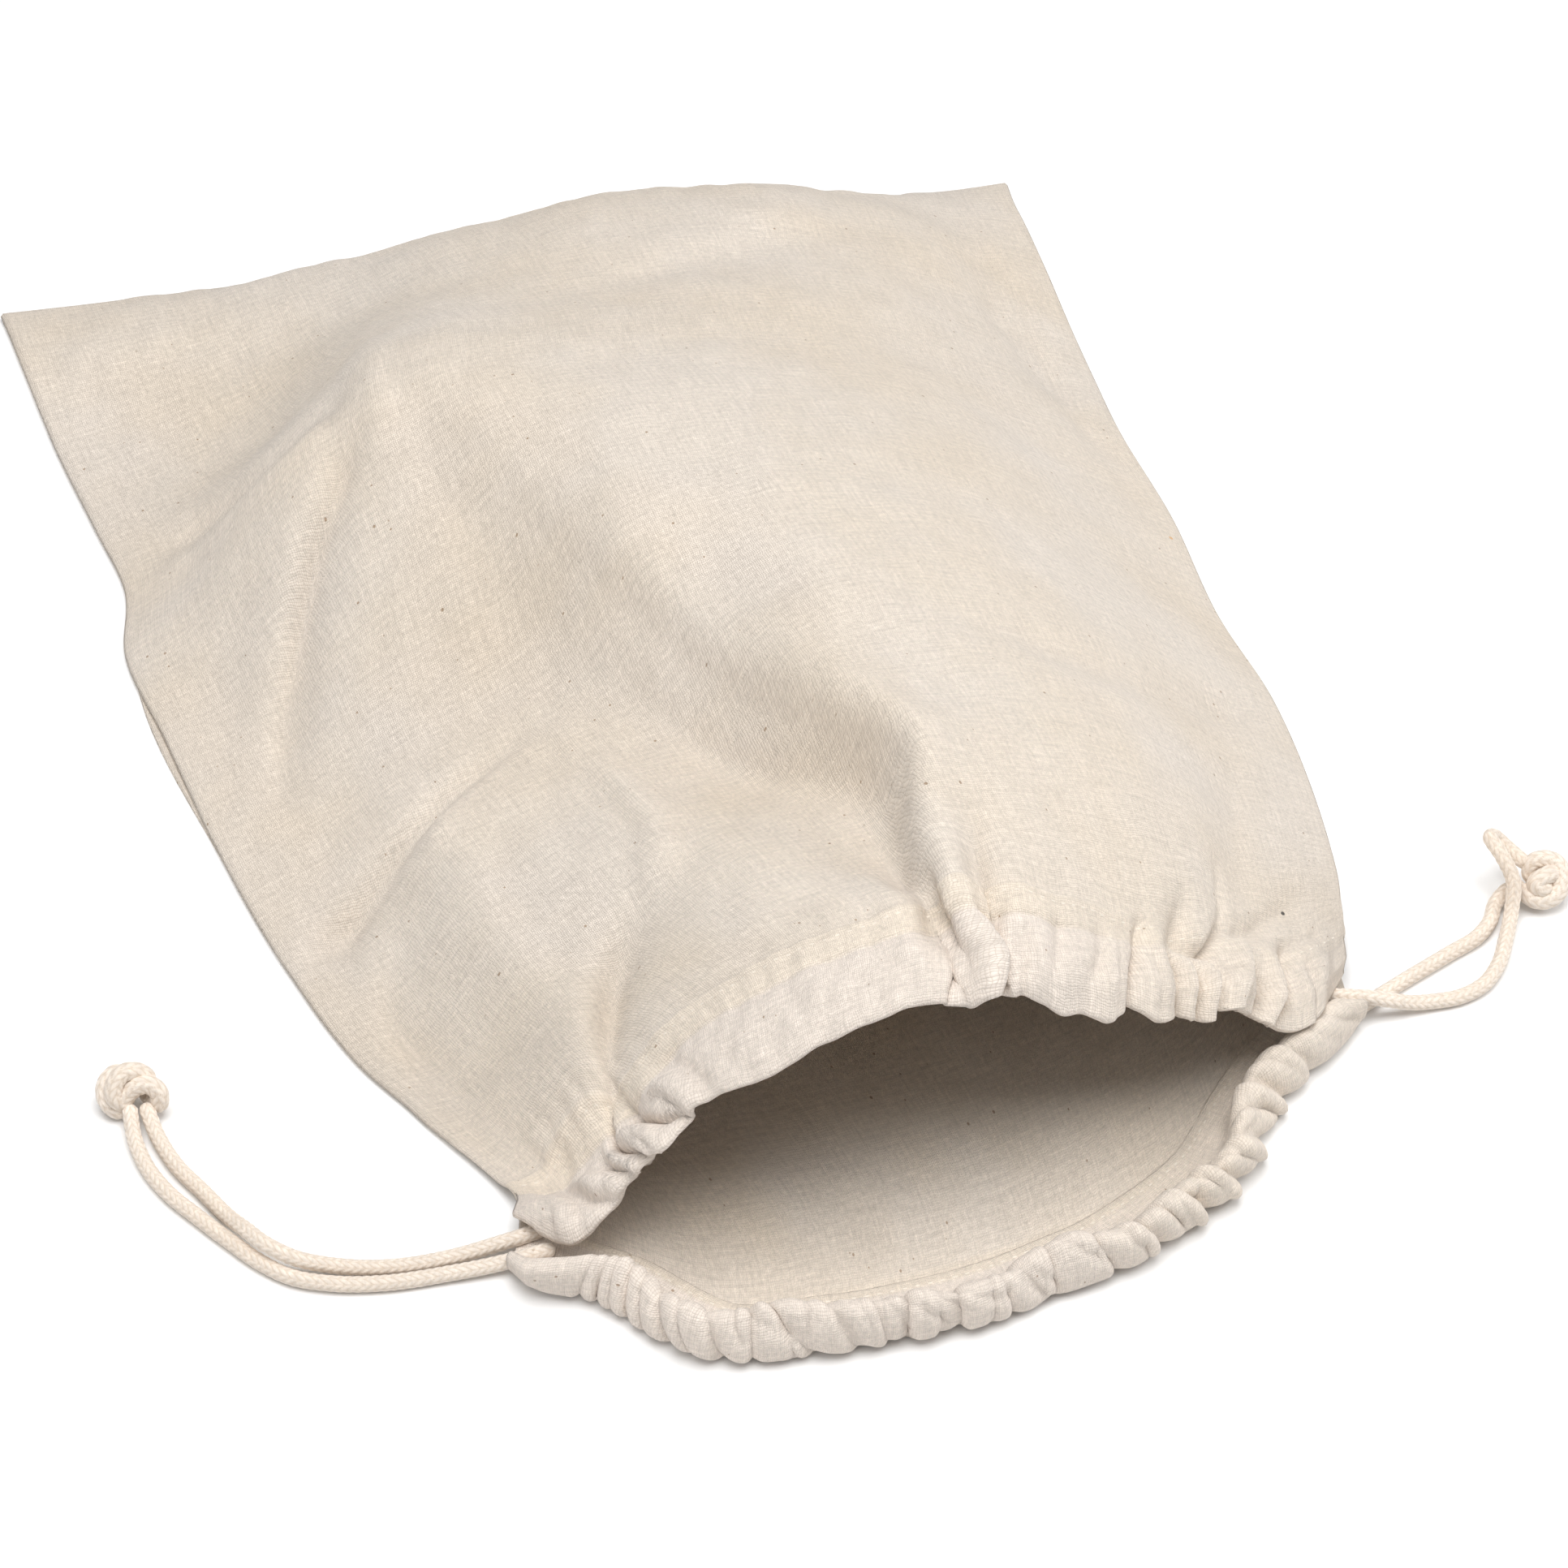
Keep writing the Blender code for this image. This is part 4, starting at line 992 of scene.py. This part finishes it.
# Cross-sections of the back panel, from the far seam to where its casing turns up.
# Columns: left seam x and y, right seam x and y, share of the mouth's forward curve.
BACK_SECTIONS = (
    (-158.5, 254, 142, 221, 0),
    (-154, 170, 137, 160, 0),
    (-150, 126, 135, 108, 0),
    (-156, 92, 135, 80, 0.02),
    (-150, 20, 133, 22, 0.10),
    (-134, -60, 132, -48, 0.35),
    (-108, -118, 117, -98, 0.75),
    (-115, -140, 112, -128, 1),
)
MOUTH_CURVE = (-140, -155, -179, -188, -190, -189, -183, -168, -143, -128)  # its y at STATIONS
BODY_LENGTH, MOUTH_WIDTH = 360, 264  # in plan, of the panel past its casing and of the casing
# Small swells of the flat part, and tucks that the gathers pull up. Columns: height, seed, size.
BODY_SWELL, BODY_TUCKS = (0.35, 7, 30), (0.35, 23, 12)
BODY_FADE = 12  # the tucks fade out over this distance from the casing, and both next to the seams
# Its rows, as shares of the way from the far seam to the casing's foot. Columns: from, to, count.
BODY_ROWS = ((0.985, 0.9, 14), (0.88, 0.02, 50), (0.01, 0, 2))

# The standing casing's cloth, from its raw edge folded inside, up the inner side, over the lip and down
# the outer side to its foot. Columns: outward, up, share of the gathers.
CASING_PATH = (
    (-9, 0.95, 0.1), (-12, 0.95, 0.1), (-15.5, 0.9, 0.1), (-16.5, 1.05, 0.1), (-16, 1.45, 0.12),
    (-13, 1.6, 0.15), (-10, 1.8, 0.2), (-8, 2.4, 0.3), (-6.5, 3.6, 0.35), (-5.7, 5.4, 0.4),
    (-5.3, 7.4, 0.45), (-5, 9.4, 0.55), (-4.6, 11.2, 0.65), (-4, 12.8, 0.75), (-3.2, 13.9, 0.8),
    (-2.1, 14.5, 0.85), (-0.9, 14.2, 0.9), (0.1, 13.1, 1), (1, 11.4, 1), (1.7, 9.4, 1), (2.1, 7.4, 1),
    (2.1, 5.6, 1), (1.7, 4, 1), (0.8, 2.6, 0.9), (-0.6, 1.4, 0.7), (-2.2, 0.7, 0.5), (-4, 0.36, 0.25),
)
BACK_COLUMNS, BACK_ROWS = 420, 46
WALL_HEIGHT = 14.0  # height at which the casing's leaning and its uneven top are full
INSIDE = -5  # the layers inside reach further inward than this, and turn with the side seams
SEAM_WAYS = ((-0.3, -0.95, 0), (-0.16, -0.99, 0))  # their way at the left and the right side seam
SEAM_WAY_REACH, SEAM_WAY_LEAST = 0.08, 0.2  # where they are square to the casing, and how far at the seam
CALM_REACH = 0.02  # share across next to each seam that holds no gathers
END_HEIGHTS, END_REACH = (0.62, 0.72), 0.13  # share of the height at the two ends, and where it is full
SWAY, UNEVEN_TOP = (1.6, 21, 36), (0.5, 22, 26)  # height, seed and size
LEAN_BACK, LEAN_AT, LEAN_WIDTH = 3.0, 0.86, 0.08  # how far the right lobes lean inward, and where
FLAP_REACH, FLAP_OUT, FLAP_TUCK = 0.09, 3.5, 0.45  # both ends lie over outward as flat flaps
PLUMP = 1.3  # how far the gathered cloth stands off its path

# Gathers of the back casing where they show best. Columns as FRONT_GATHERS, but the distance is along the
# cloth from the casing's top edge, above zero down its outer side.
BACK_GATHERS = (
    # A flat lobe at the left end, then fine pleats that spread from one place.
    (5, 5, (0.034, -12, 0.2), (0.034, 0, 0.6), (0.036, 14, 0.8)),
    (0.9, 1.6, (0.074, -10, -0.4), (0.068, 0, -1), (0.058, 16, -1.6)),
    (1, 1.3, (0.080, -10, -0.6), (0.077, 0, -1.6), (0.074, 16, -2.4)),
    (0.7, 1, (0.085, -12, -0.6), (0.084, 0, -1.2), (0.088, 16, -1.4)),
    (1.1, 1.4, (0.091, -12, -0.8), (0.094, 0, -2), (0.102, 16, -2.6)),
    (0.8, 1.2, (0.098, -12, -0.8), (0.105, 0, -1.4), (0.118, 16, -1.6)),
    (1.2, 2.2, (0.108, -12, -1.4), (0.121, 0, -2.2), (0.138, 16, -2.6)),
    (0.8, 1.2, (0.124, -12, -0.8), (0.138, 0, -1.2), (0.156, 16, -1.4)),
    (1.1, 2.6, (0.148, -12, -1.2), (0.162, 0, -2), (0.180, 16, -2.4)),
    # Slanting lobes towards the right end, each lying over the next, and the flat lobe that ends it.
    (0.9, 3, (0.556, -14, -1.2), (0.590, 0, -1.6), (0.612, 16, -1.8)),
    (0.9, 3.2, (0.606, -14, -1.4), (0.642, 0, -1.8), (0.668, 16, -2.2)),
    (0.8, 1.1, (0.650, -8, -0.8), (0.676, 2, -1.1), (0.698, 12, -0.6)),
    (0.9, 3.4, (0.656, -14, -1.6), (0.700, 0, -2), (0.735, 16, -2.4)),
    (0.8, 1.1, (0.698, -9, -0.9), (0.728, 0, -1.2), (0.758, 8, -0.6)),
    (0.9, 3.4, (0.704, -14, -1.8), (0.748, 0, -2.2), (0.782, 16, -2.6)),
    (0.8, 1.1, (0.744, -8, -0.8), (0.774, 1, -1.1), (0.802, 10, -0.8)),
    (0.9, 3.6, (0.750, -14, -1.8), (0.794, 0, -2.2), (0.832, 16, -2.6)),
    (0.9, 1.2, (0.796, -9, -0.9), (0.824, 1, -1.2), (0.850, 10, -0.6)),
    (1, 3.6, (0.806, -14, -1.8), (0.848, 0, -2.2), (0.878, 16, -2.6)),
    (0.9, 1.2, (0.850, -10, -1), (0.872, -1, -1.1), (0.894, 8, -0.6)),
    (1.2, 3, (0.874, -14, -1.2), (0.896, 0, -1.6), (0.916, 16, -1.8)),
    (8, 8, (0.955, -8, 0.6), (0.960, 2, 1), (0.965, 14, 0.6)),
    # Sharp ridges along the pleats where one lobe lies over the next.
    (1, 1.2, (0.622, -4, 0.4), (0.646, 6, 1.2), (0.659, 15, 1)),
    (1.1, 1.3, (0.684, -6, 0.5), (0.702, 4, 1.4), (0.725, 15, 1.4)),
    (1, 1.4, (0.728, -6, 0.5), (0.748, 5, 1.3), (0.772, 15, 1.5)),
    (1.2, 1.2, (0.780, -5, 0.6), (0.796, 6, 1.5), (0.821, 15, 1.7)),
    (1.1, 1.5, (0.832, -6, 0.6), (0.850, 5, 1.4), (0.868, 15, 1.6)),
)
# Seeded hollows between them. Columns: seed, shares across of the first and the last one, from one to the
# next, depth, widths of the steep and the easy side, and where they begin and end down the casing.
RUFFLES = (
    (11, 0.205, 0.575, (0.022, 0.070), (0.9, 2.3), ((0.8, 1.2), (1.8, 4.2)), ((-13, -10), (14, 17))),
    (12, 0.19, 0.985, (0.017, 0.036), (0.4, 1.1), ((0.8, 1.2), (1.1, 2)), ((-9, -3), (5, 14))),
)
SLANT, STEEP_LEFT = (-0.004, 0.040), 0.6  # their slant across, and the share that is steep on the left
BACK_CLOSE = 0.3  # how far the lobes close over the hollows between them


def back_surface(across, onward):
    """The back panel in plan: a grid from the far seam, at 0, to its casing's foot, at 1."""
    sections = np.array(BACK_SECTIONS, float)
    middle = (sections[:, 1] + sections[:, 3]) / 2
    places = np.concatenate(([0], np.cumsum(np.abs(np.diff(middle)))))
    rows = along(places / places[-1], sections, onward)
    left_x, left_y, right_x, right_y, share = (rows[:, k : k + 1] for k in range(5))
    curve = along(STATIONS, MOUTH_CURVE, across)[:, 0]
    curve = curve - (MOUTH_CURVE[0] + (MOUTH_CURVE[-1] - MOUTH_CURVE[0]) * across)
    x = left_x + (right_x - left_x) * across
    y = left_y + (right_y - left_y) * across + share * curve
    return np.stack((x, y, np.full_like(x, BACK_LIFT)), -1)


def ruffles(seed, first, last, spacing, depth, widths, reach):
    """A seeded row of uneven hollows from one share across to another, as BACK_GATHERS are."""
    dice = np.random.default_rng(seed)
    rows, place = [], first
    while place < last:
        slant, deep, steep, easy = (dice.uniform(*span) for span in (SLANT, depth, *widths))
        low, high = (dice.uniform(*span) for span in reach)
        sides = (steep, easy) if dice.uniform() < STEEP_LEFT else (easy, steep)
        inner, lip = (place - slant, low, -0.5 * deep), (place, 2, -deep)
        rows.append((*sides, inner, lip, (place + slant, high, -deep)))
        place += dice.uniform(*spacing)
    return tuple(rows)


def end_taper(across):
    """How far the standing casing keeps its full height near its two ends, the right one the higher."""
    least = np.where(across < 0.5, *END_HEIGHTS)
    return least + (1 - least) * np.sin(np.pi / 2 * np.clip(from_ends(across) / END_REACH, 0, 1))


def waved(places, height, seed, size):
    """Uneven waves along the casing."""
    return height * ripple(places, 0 * places, seed, size)


def back_casing_grid(across, foot):
    """Points of the standing casing's cloth, from its raw edge to its outer foot, and its rows' places."""
    run = unit(np.gradient(foot, axis=0))
    outward = np.column_stack((run[:, 1], -run[:, 0], np.zeros(len(run))))
    from_end = from_ends(across)
    seam_way = np.where(across[:, None] < 0.5, *SEAM_WAYS)
    square = np.clip(from_end / SEAM_WAY_REACH, 0, 1)[:, None] ** 2
    blend = square * (1 - SEAM_WAY_LEAST) + SEAM_WAY_LEAST
    inward_way = blend * outward + (1 - blend) * seam_way
    path = along(range(len(CASING_PATH)), CASING_PATH, np.linspace(0, len(CASING_PATH) - 1, BACK_ROWS))
    v = distances(path[:, :2])
    v -= v[np.argmax(path[:, 1])]
    places = distances(foot)
    folds = placed_gathers(BACK_GATHERS + ruffles(*RUFFLES[0]) + ruffles(*RUFFLES[1]), across, places)
    rise, shift, slip = gathers(*np.meshgrid(places, v), folds, BACK_CLOSE)
    calm = np.clip(from_end / CALM_REACH, 0, 1)
    taper = end_taper(across)
    path_out, path_up = unit(np.gradient(path[:, :2], axis=0)).T
    sway = waved(places, *SWAY) - LEAN_BACK * np.exp(-(((across - LEAN_AT) / LEAN_WIDTH) ** 2))
    uneven = waved(places, *UNEVEN_TOP)
    flat_end = np.clip(1 - from_end / FLAP_REACH, 0, 1) ** 0.7
    rows = []
    for i, (out, up, share) in enumerate(path):
        height = np.clip(up / WALL_HEIGHT, 0, 1)
        swell = share * calm * (rise[i] + PLUMP * min(share * 1.5, 1))
        lift = (up - BACK_LIFT) * (taper if up > 2 else 1) + calm * height * uneven * taper
        leaned = out + sway * height * calm + path_up[i] * -swell + slip[i] * path_out[i] * share
        leaned += flat_end * (height * FLAP_OUT - FLAP_TUCK * np.where(out > -7, out + 1.6, 0))
        way = inward_way if out < INSIDE else outward
        place = foot + way * leaned[:, None] + run * (share * calm * shift[i])[:, None]
        least = min(up, BACK_LIFT + 0.3 * share)
        place[:, 2] = np.maximum(BACK_LIFT + lift + path_out[i] * swell * taper, least)
        rows.append(place)
    return np.array(rows), v


def add_back_panel():
    """The back panel's cloth as one sheet. Returns it and its casing's grid."""
    across = np.linspace(0, 1, BACK_COLUMNS + 1)
    foot = back_surface(across, np.array((1.0,)))[0]
    casing, casing_v = back_casing_grid(across, foot)
    onward = np.concatenate([np.linspace(*rows) for rows in BODY_ROWS])
    body = back_surface(across, onward)
    most, seed, size = BODY_SWELL
    swell = (0.5 + 0.5 * ripple(body[..., 0], body[..., 1], seed, size)) * most
    tucks_most, seed, size = BODY_TUCKS
    tucks = np.abs(waved(across * MOUTH_WIDTH, 1, seed, size))[None, :]
    pulled = tucks * np.exp(-(1 - onward)[:, None] * BODY_LENGTH / BODY_FADE) * tucks_most
    from_edge = np.minimum(from_ends(across)[None, :] * PANEL_WIDTH, onward[:, None] * BODY_LENGTH)
    body[..., 2] += (swell + pulled) * np.clip(from_edge / BODY_FADE, 0, 1)
    body_v = casing_v[-1] + np.concatenate(([2], 2 + np.cumsum(-np.diff(onward) * BODY_LENGTH)))
    flat, body_flat = on_cloth(across, casing_v), on_cloth(across, body_v)
    return cloth_mesh("back_cloth", casing, body[:, ::2], flat, body_flat[:, ::2]), casing


back_cloth, back_casing = add_back_panel()
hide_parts("back_panel")


# ---- Sewing thread
# Each casing is sewn down with one row of lock stitches along its turned-in edge, in undyed cotton thread
# a little paler than the cloth. Each stitch dips into the cloth at both its ends.

STITCH_LENGTH, STITCH_GAP, THREAD_RADIUS = 2.7, 0.5, 0.24
STITCH_RINGS, THREAD_SIDES = 7, 6
STITCH_HIGH, STITCH_SUNK = 0.62, 0.45  # a stitch's height over its ends, and how deep these lie
HEM_ROW = 8  # row of the back casing's cloth that its stitches run along
THREAD_TONES = ((0.90, 0.84, 0.75, 1), (0.78, 0.70, 0.60, 1))


def thread_material():
    """Matt cotton thread, a little paler than the cloth."""
    material, tree, shader = new_material("cotton_thread", roughness=0.7)
    twist = noise(tree, node(tree, "TexCoord").outputs["Object"], 900.0, 2.0)["Fac"]
    tree.links.new(mixed(tree, twist, *THREAD_TONES), shader["Base Color"])
    bumped(tree, shader, twist, 0.4, 0.05)
    return material


def add_stitches(name, line, upward):
    """A row of stitches along a line on the cloth, each a short round thread that dips in at both ends."""
    run = distances(line)
    pitch = STITCH_LENGTH + STITCH_GAP
    share = np.linspace(0, 1, STITCH_RINGS)
    rise = STITCH_HIGH * np.sin(np.pi * share) ** 0.5 - STITCH_SUNK
    last = (STITCH_RINGS - 1) * THREAD_SIDES
    points, faces = [], []
    for start in np.arange(int(run[-1] / pitch)) * pitch:
        at = start + share * STITCH_LENGTH
        up = unit(points_at(upward, run, at))
        middle = points_at(line, run, at) + up * rise[:, None]
        side = unit(np.cross(np.gradient(middle, axis=0), up))
        base = len(points)
        for p, s, u in zip(middle, side, up):
            for turn in np.arange(THREAD_SIDES) * 2 * math.pi / THREAD_SIDES:
                points.append(p + THREAD_RADIUS * (math.cos(turn) * s + math.sin(turn) * u))
        for ring in range(base, base + last, THREAD_SIDES):
            for j in range(THREAD_SIDES):
                a, b = ring + j, ring + (j + 1) % THREAD_SIDES
                faces.append((a, b, b + THREAD_SIDES, a + THREAD_SIDES))
        faces.append(tuple(base + j for j in reversed(range(THREAD_SIDES))))
        faces.append(tuple(base + last + j for j in range(THREAD_SIDES)))
    add_piece(name, points, faces, COTTON_THREAD)


COTTON_THREAD = thread_material()
front_seam = list(front_outer_v).index(STITCH_AT)
front_up = surface_axes(front_outer)[2]
add_stitches("front_casing_stitches", front_outer[front_seam, 3:-3], front_up[front_seam, 3:-3])
back_seam = back_casing[HEM_ROW, 6:-6]
add_stitches("back_casing_stitches", back_seam, np.tile((0, 0, 1.0), (len(back_seam), 1)))

bpy.context.view_layer.update()
